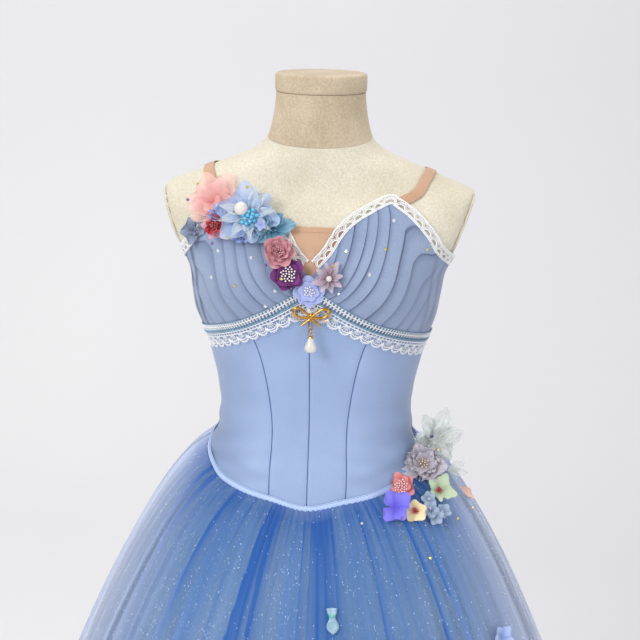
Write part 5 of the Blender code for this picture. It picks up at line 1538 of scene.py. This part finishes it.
grey = flower_place(423, 464, 0.0140, 0.55, spin=0.1)
grey_finish = petal_finish("grey_silk", srgb(212, 206, 216), srgb(132, 124, 140), root_reach=0.9, creases=6)
petals_piece("grey_petals", grey, shape_petal(0.0290, 0.0290, cup=0.22, curl=0.12, ruffle=0.13, waves=7),
             [ring_of(7, 0.10, loose=0.2), ring_of(7, 0.36, size=0.85, lift=0.001, start=0.3, loose=0.2),
              ring_of(7, 0.70, size=0.62, lift=0.002, start=0.1, loose=0.25)], grey_finish,
             ["grey_ruffle_flower"])
bead_cluster("grey_stamens", grey, 0.0010, 11, 0.0065, 0.0115, cream_bead, "flower_grey")
petals_piece("grey_tip", flower_place(448, 471, 0.0060, 0.5),
             shape_petal(0.0280, 0.0150, cup=0.2, curl=0.05, ruffle=0.10, waves=5, point=0.7),
             [[Matrix.Rotation(math.radians(a), 4, "Z") for a in (-72, -104)]], ivory_finish)

rose = flower_place(402.5, 486.5, 0.0080, 0.5, spin=0.4)
rose_finish = petal_finish("coral_silk", srgb(238, 156, 156), srgb(206, 96, 104), root_reach=0.8)
petals_piece("rose_petals", rose, shape_petal(0.0200, 0.0200, cup=0.24, curl=0.10, ruffle=0.04),
             [ring_of(5, 0.14), ring_of(5, 0.45, size=0.78, lift=0.001, start=0.5)], rose_finish,
             ["coral_rose"])
bead_cluster("rose_stamens", rose, 0.0011, 26, 0.0088, 0.0090, pearly_bead, "flower_coral", dome=0.2, stalk=False)

violet = flower_place(395.5, 508, 0.0060, 0.5, spin=0.7)
violet_finish = petal_finish("violet_silk", srgb(138, 132, 240), srgb(92, 80, 208), root_reach=0.6)
petals_piece("violet_petals", violet, shape_petal(0.0235, 0.0240, cup=0.20, curl=0.12, ruffle=0.06, waves=4),
             [ring_of(4, 0.14, loose=0.15)], violet_finish, ["violet_flower"])

cream = flower_place(415.5, 511, 0.0090, 0.5, spin=0.2)
cream_finish = petal_finish("cream_silk", srgb(246, 230, 188), srgb(226, 196, 140), root_reach=0.5)
petals_piece("cream_petals", cream, shape_petal(0.0150, 0.0175, cup=0.24, curl=0.10, ruffle=0.03),
             [ring_of(5, 0.15)], cream_finish, ["cream_flower"])
bead_cluster("cream_stamens", cream, 0.0009, 15, 0.0040, 0.0030, crimson_bead, "flower_cream")

pale_finish = petal_finish("pale_blue_silk", srgb(172, 190, 212), srgb(122, 142, 174), alpha=0.95)
pale_places = [flower_place(x, y, 0.0070, 0.5, spin=s) for x, y, s in
               ((428.5, 499, 0.2), (431, 509.5, 0.8), (443, 511, 0.5), (436, 517, 0.1))]
petals_piece("pale_blue_petals", Matrix.Identity(4), shape_petal(0.0110, 0.0125, cup=0.24, curl=0.10, ruffle=0.05),
             [[spot @ m for m in ring_of(5, 0.2)] for spot in pale_places], pale_finish,
             ["pale_blue_flower"])

green = flower_place(438, 490.5, 0.0110, 0.5)
green_finish = petal_finish("sage_silk", srgb(198, 214, 184), srgb(150, 174, 136), root_reach=0.6)
petals_piece("green_petals", green, shape_petal(0.0250, 0.0190, cup=0.22, curl=0.08, ruffle=0.04),
             [[Matrix.Rotation(math.radians(a), 4, "Z") @ Matrix.Rotation(0.12, 4, "X")
               @ Matrix.Diagonal((q, q, q, 1)) for a, q in
               ((-38, 1.0), (-112, 1.0), (38, 0.7), (110, 0.62), (180, 0.62))]],
             green_finish, ["green_flower"])
bead_cluster("green_stamens", green, 0.0010, 14, 0.0040, 0.0034, crimson_bead, "flower_green")

peach_finish = petal_finish("peach_silk", srgb(240, 206, 190), srgb(226, 176, 160))
petals_piece("peach_petal", flower_place(460, 487, -0.0025, 0.2),
             shape_petal(0.0260, 0.0150, cup=0.2, curl=0.05, ruffle=0.06),
             [[Matrix.Rotation(math.radians(-145), 4, "Z")]], peach_finish)

skirt_blue_finish = petal_finish("skirt_flower_silk", srgb(180, 198, 238), srgb(126, 150, 210))
petals_piece("skirt_flower_petals", flower_place(501, 636.5, 0.0060, 0.3, spin=0.3),
             shape_petal(0.0160, 0.0150, cup=0.24, curl=0.14, ruffle=0.04), [ring_of(5, 0.2)], skirt_blue_finish,
             ["skirt_flower"])
print("hip flowers: 7, skirt flower: 1")

# %% [markdown]
# ## Brooch
#
# The brooch is a gold bow with two open loops edged in small stones, a link and a hanging pearl. The bow's ribbon
# is bent wire swept along each loop, and the stones are one cut bead copied along the lower edge.

# %% Make the bow
BOW_CENTRE = Vector((0.0035, -0.1224, 1.1622))
EYELET_Z, EYELET_RADIUS, WIRE_RADIUS, LINK_RADIUS, LINK_WIRE = 1.1477, 0.0022, 0.0006, 0.0030, 0.0007


def smooth_route(points, closed=False, count=60):
    """A smooth line through a few points, by chord length."""
    table = np.array(points, float)
    if closed:
        table = np.vstack([table, table[:1]])
    steps = np.concatenate([[0], np.cumsum(np.linalg.norm(np.diff(table, axis=0), axis=1))])
    return hermite(np.column_stack([steps, table]), np.linspace(0, steps[-1], count))


def in_bow(route, forward=0.0):
    route = np.asarray(route, float)
    return np.column_stack([BOW_CENTRE.x + route[:, 0], np.full(len(route), BOW_CENTRE.y - forward),
                            BOW_CENTRE.z + route[:, 1]])


upper_ribbon = [(0.0020, 0.0010), (0.0085, 0.0066), (0.0150, 0.0105), (0.0200, 0.0098), (0.0216, 0.0050),
                (0.0180, 0.0006), (0.0110, -0.0014), (0.0030, -0.0004)]
lower_edge = [(0.0030, -0.0010), (0.0105, -0.0036), (0.0165, -0.0034), (0.0212, -0.0006), (0.0226, 0.0046)]
tail = [(0.0012, -0.0030), (0.0060, -0.0068), (0.0112, -0.0112)]
ribbons, fine = [], []
for side in (1, -1):
    flip = np.array([side, 1.0])
    loop_route = smooth_route(upper_ribbon) * flip
    for offset in (0.0, 0.0011):
        ribbons.append(in_bow(loop_route * (1 - offset * 42), 0.0008 + offset))
    fine.append(in_bow(smooth_route(lower_edge) * flip + [0, -0.0012], 0.0002))
    ribbons.append(in_bow(smooth_route(tail) * flip, 0.0004))
bow = threads("bow_ribbon", ribbons, 0.00135, gold_finish, "gold", roundness=2, replaces=["brooch_bow"])
bow_edge = threads("bow_edge", fine, 0.0007, gold_finish, "gold", roundness=1)
select_only()
bpy.ops.mesh.primitive_uv_sphere_add(segments=20, ring_count=12, radius=0.0033, location=BOW_CENTRE)
bpy.ops.transform.resize(value=(0.85, 0.75, 1.25))
knot = bpy.context.object
knot.name = knot.data.name = "bow_knot"
bpy.ops.object.transform_apply(location=True, rotation=True, scale=True)
dress_piece(knot, gold_finish)


def wire_ring(name, centre, major, minor, along_x, material, body, node=None):
    """A ring of round wire; the hole runs along X for a link and along Y for an eyelet."""
    select_only()
    bpy.ops.mesh.primitive_torus_add(major_radius=major, minor_radius=minor, major_segments=36, minor_segments=10,
                                     location=centre,
                                     rotation=(0, math.pi / 2, 0) if along_x else (math.pi / 2, 0, 0))
    ring_piece = bpy.context.object
    ring_piece.name = ring_piece.data.name = name
    bpy.ops.object.transform_apply(location=True, rotation=True, scale=True)
    return dress_piece(ring_piece, material, body=body, replaces=[node] if node else [])


eyelet_centre = Vector((BOW_CENTRE.x, BOW_CENTRE.y, EYELET_Z))
wire_ring("bow_eyelet", eyelet_centre, EYELET_RADIUS, WIRE_RADIUS, False, gold_finish, "dress_and_form")
stem_top = np.array([[BOW_CENTRE.x, BOW_CENTRE.y, BOW_CENTRE.z - 0.003], [BOW_CENTRE.x, BOW_CENTRE.y,
                                                                          EYELET_Z + EYELET_RADIUS]])
threads("bow_stem", [stem_top], 0.0009, gold_finish, "gold", roundness=2)
touching = WIRE_RADIUS + LINK_WIRE + 0.0001
link_centre = eyelet_centre + Vector((0, 0, touching - EYELET_RADIUS - LINK_RADIUS))
wire_ring("pendant_link", link_centre, LINK_RADIUS, LINK_WIRE, True, gold_finish, "link", "drop_link")
pearl_pivot = link_centre - Vector((0, 0, LINK_RADIUS))
loop_middle = pearl_pivot + Vector((0, 0, touching - EYELET_RADIUS))
wire_ring("pearl_loop", loop_middle, EYELET_RADIUS, WIRE_RADIUS, False, gold_finish, "pearl")
print("bow, eyelet, link and loop")

# %% [markdown]
# The pearl is turned from a profile: a drop with a small gold cap on its neck. The cut stones are low cones with
# eight sides and a flat top, which is enough for them to catch the light one facet at a time.

# %% Make the pearl, the crystal and the cut stones
PEARL_LENGTH, PEARL_RADIUS = 0.0205, 0.0073
pearl_top = loop_middle.z - EYELET_RADIUS + 0.0002


def turned_drop(name, centre, profile, sides, material, body, replaces=()):
    """A closed turned shape about an upright axis; the profile gives (radius, height below the centre)."""
    table = np.array(profile, float)

    def place(u, v):
        turn_angle = u * 2 * math.pi
        row = hermite(np.column_stack([np.linspace(0, 1, len(table)), table]), v)
        return np.stack([centre.x + row[..., 0] * np.cos(turn_angle), centre.y + row[..., 0] * np.sin(turn_angle),
                         centre.z + row[..., 1]], axis=-1)

    drop = wrap_grid(name, sides, len(table) * 3, place)
    join_seam(drop)
    return dress_piece(drop, material, body=body, replaces=replaces, smooth_angle=60)


pearl_profile = [(0.0, 0.0), (0.0016, -0.0005), (0.0028, -0.0022), (0.0043, -0.0060), (0.0062, -0.0105),
                 (0.0073, -0.0148), (0.0060, -0.0186), (0.0030, -0.0202), (0.0, -0.0205)]
turned_drop("hanging_pearl", Vector((loop_middle.x, loop_middle.y, pearl_top)), pearl_profile, 40, pearl_finish,
            "pearl", ["pearl_drop"])
cap_profile = [(0.0, 0.0004), (0.0014, 0.0003), (0.0024, -0.0006), (0.0030, -0.0020), (0.0029, -0.0024)]
turned_drop("pearl_cap", Vector((loop_middle.x, loop_middle.y, pearl_top)), cap_profile, 24, gold_finish,
            "pearl")
bead_point = flower_place(241, 208.5, 0.0260).translation
select_only()
bpy.ops.mesh.primitive_uv_sphere_add(segments=36, ring_count=20, radius=0.0082, location=bead_point)
big_pearl = bpy.context.object
big_pearl.name = big_pearl.data.name = "large_pearl"
bpy.ops.object.transform_apply(location=True, rotation=True, scale=True)
dress_piece(big_pearl, pearl_finish, replaces=["pearl_bead"])
mauve_point = flower_place(329, 279, 0.0100).translation
bpy.ops.mesh.primitive_uv_sphere_add(segments=28, ring_count=16, radius=0.0036, location=mauve_point)
small_pearl = bpy.context.object
small_pearl.name = small_pearl.data.name = "mauve_pearl"
bpy.ops.object.transform_apply(location=True, rotation=True, scale=True)
dress_piece(small_pearl, pearl_finish)


def cut_stone(radius, height=0.55):
    """One brilliant-cut stone: eight sides, a flat top, a sloping crown."""
    select_only()
    bpy.ops.mesh.primitive_cone_add(vertices=8, radius1=radius, radius2=radius * 0.55, depth=radius * height,
                                    location=(0, 0, radius * height / 2))
    stone = bpy.context.object
    bpy.ops.object.transform_apply(location=True, rotation=True, scale=True)
    return stone


def stones_piece(name, places, radius, material, height=0.55, body="dress_and_form"):
    stones = copy_and_join(cut_stone(radius, height), places, name)
    return dress_piece(stones, material, body=body, smooth_angle=5)


stone_places = []
facing_front = Matrix.Rotation(math.pi / 2, 4, "X")
for side in (1, -1):
    for route in (smooth_route(lower_edge, count=13), smooth_route(lower_edge, count=12) * [0.86, 1.0] + [0.001, 0.0026]):
        for x, z in route:
            stone_places.append(Matrix.Translation((BOW_CENTRE.x + side * x, BOW_CENTRE.y - 0.0006,
                                                    BOW_CENTRE.z + z - 0.0012)) @ facing_front)
stones_piece("bow_stones", stone_places, 0.00085, clear_gem)
print("stones on the bow:", len(stone_places))

# %% [markdown]
# The crystal drop is cut glass with flat faces. It is built from a few rings of eight points, like the solid it
# covers, and shaded flat so each face mirrors the room on its own.

# %% Cut the crystal drop
CRYSTAL_HEIGHT, CRYSTAL_HALF_WIDTH = 0.032, 0.0078
glass, _ = cloth_material("crystal_glass", srgb(196, 226, 240), srgb(140, 194, 224), patch=120,
                                     flecks=0.3, threads=60, bump=0.0, roughness=0.06, specular=0.8,
                                     transmission=0.35, coat=0.5)
crystal_angle = math.radians(11.8)
crystal_point, crystal_out = cover_point(11.8, 0.8087, 0.0055)
crystal_across = Vector((math.cos(crystal_angle), math.sin(crystal_angle), 0))
crystal_up = crystal_out.cross(crystal_across).normalized()
CRYSTAL_PROFILE = np.array([(0.02, -0.50), (0.50, -0.42), (0.86, -0.32), (0.98, -0.20), (0.84, -0.08), (0.56, 0.04),
                            (0.46, 0.14), (0.74, 0.30), (0.86, 0.46), (0.02, 0.50)])


def crystal_place(u, v):
    turn_angle = u * 2 * math.pi
    k = v * (len(CRYSTAL_PROFILE) - 1)
    width = np.interp(k, range(len(CRYSTAL_PROFILE)), CRYSTAL_PROFILE[:, 0])
    along = np.interp(k, range(len(CRYSTAL_PROFILE)), CRYSTAL_PROFILE[:, 1])
    return (np.array(crystal_point) + np.outer(np.cos(turn_angle) * width * CRYSTAL_HALF_WIDTH, crystal_across)
            + np.outer(np.sin(turn_angle) * width * CRYSTAL_HALF_WIDTH * 0.55, crystal_out)
            + np.outer(along * CRYSTAL_HEIGHT, crystal_up))


crystal = wrap_grid("crystal_glass", 8, 9, crystal_place)
join_seam(crystal)
dress_piece(crystal, glass, replaces=["crystal_drop"], smooth_angle=8)
print("crystal drop faces:", len(crystal.data.polygons))

# %% [markdown]
# ## Cut stones on the dress
#
# Small stones were glued over the cups, the laces and the flowers. The stones on the laces are spaced evenly along
# the neckline lace and on every second scallop. Each of the others was noted where it sits in the photograph,
# and a ray from the camera through that spot finds the cloth. The stone is then laid flat on the cloth it met.

# %% Glue the stones
bpy.context.view_layer.update()
dressed = [o for o in bpy.context.scene.objects
           if o.type == "MESH" and not o.hide_render and o.name not in ("studio_sweep", "net_outer")
           and "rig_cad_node" not in o]


def glue(name, spots, radius, material, pieces, height=0.55, lift=0.0003):
    places = []
    for x, y in spots:
        found = meet_cloth(x, y, pieces)
        if found:
            point, normal = found
            places.append(stand_on(point + normal * lift, normal, random.uniform(0, 1)))
    if places:
        stones_piece(name, places, radius, material, height)
    print(name, len(places), "of", len(spots))
    return len(places)


cup_spots = [(184, 225.6), (251.3, 257.5), (211.4, 277), (275.1, 291.1), (265.6, 306.3), (393.9, 220.6),
             (346.2, 251.6), (369.4, 274.8), (338.6, 293.9), (218.3, 250.6)]
gold_spots = [(197.7, 184), (246.9, 187), (234.8, 285.9), (385.3, 249.5), (427.3, 249.5), (281, 279), (264.5, 231),
              (437.5, 449), (332.5, 266), (228, 238)]
violet_spots = [(187.7, 199.6), (212, 243.5), (193.5, 230.5), (402, 518), (265.5, 265.5), (430, 509)]
edge_spots = []
for side in (1, -1):
    for share in np.linspace(0.06, 0.97, 13):
        spot = Vector(walk(side, neckline, 6.0, 89.0, smooth=8)[1](share * lace_length, 0.0004, LACE_RISE + 0.0006))
        edge_spots.append(spot)
lace_stones = []
for spot in edge_spots + [Vector(braid_place((k + 0.5) * pitch, -0.0212, TRIM_RISE + 0.0008))
                          for k in range(0, scallops, 2)]:
    outward = Vector((spot.x, spot.y, 0)).normalized()
    lace_stones.append(stand_on(spot, outward, random.uniform(0, 1)))
stones_piece("lace_stones", lace_stones, 0.0012, clear_gem)
glue("cup_stones", cup_spots, 0.0026, clear_gem, dressed, 0.5)
glue("gold_stones", gold_spots, 0.0019, gold_gem, dressed)
glue("violet_stones", violet_spots, 0.0021, violet_gem, dressed)
glue("navy_stone", [(432, 437)], 0.0030, navy_gem, dressed)
glue("green_stone", [(331.5, 616)], 0.0027, green_gem, dressed)
glue("hip_stones", [(429, 499), (430, 508), (442, 511), (497, 637), (361.8, 523.4)], 0.0019, clear_gem,
     dressed + [net_outer])
glue("skirt_stones", [(457.5, 518.5), (473, 508), (430.5, 558.3)], 0.0021, gold_gem, [net_outer])
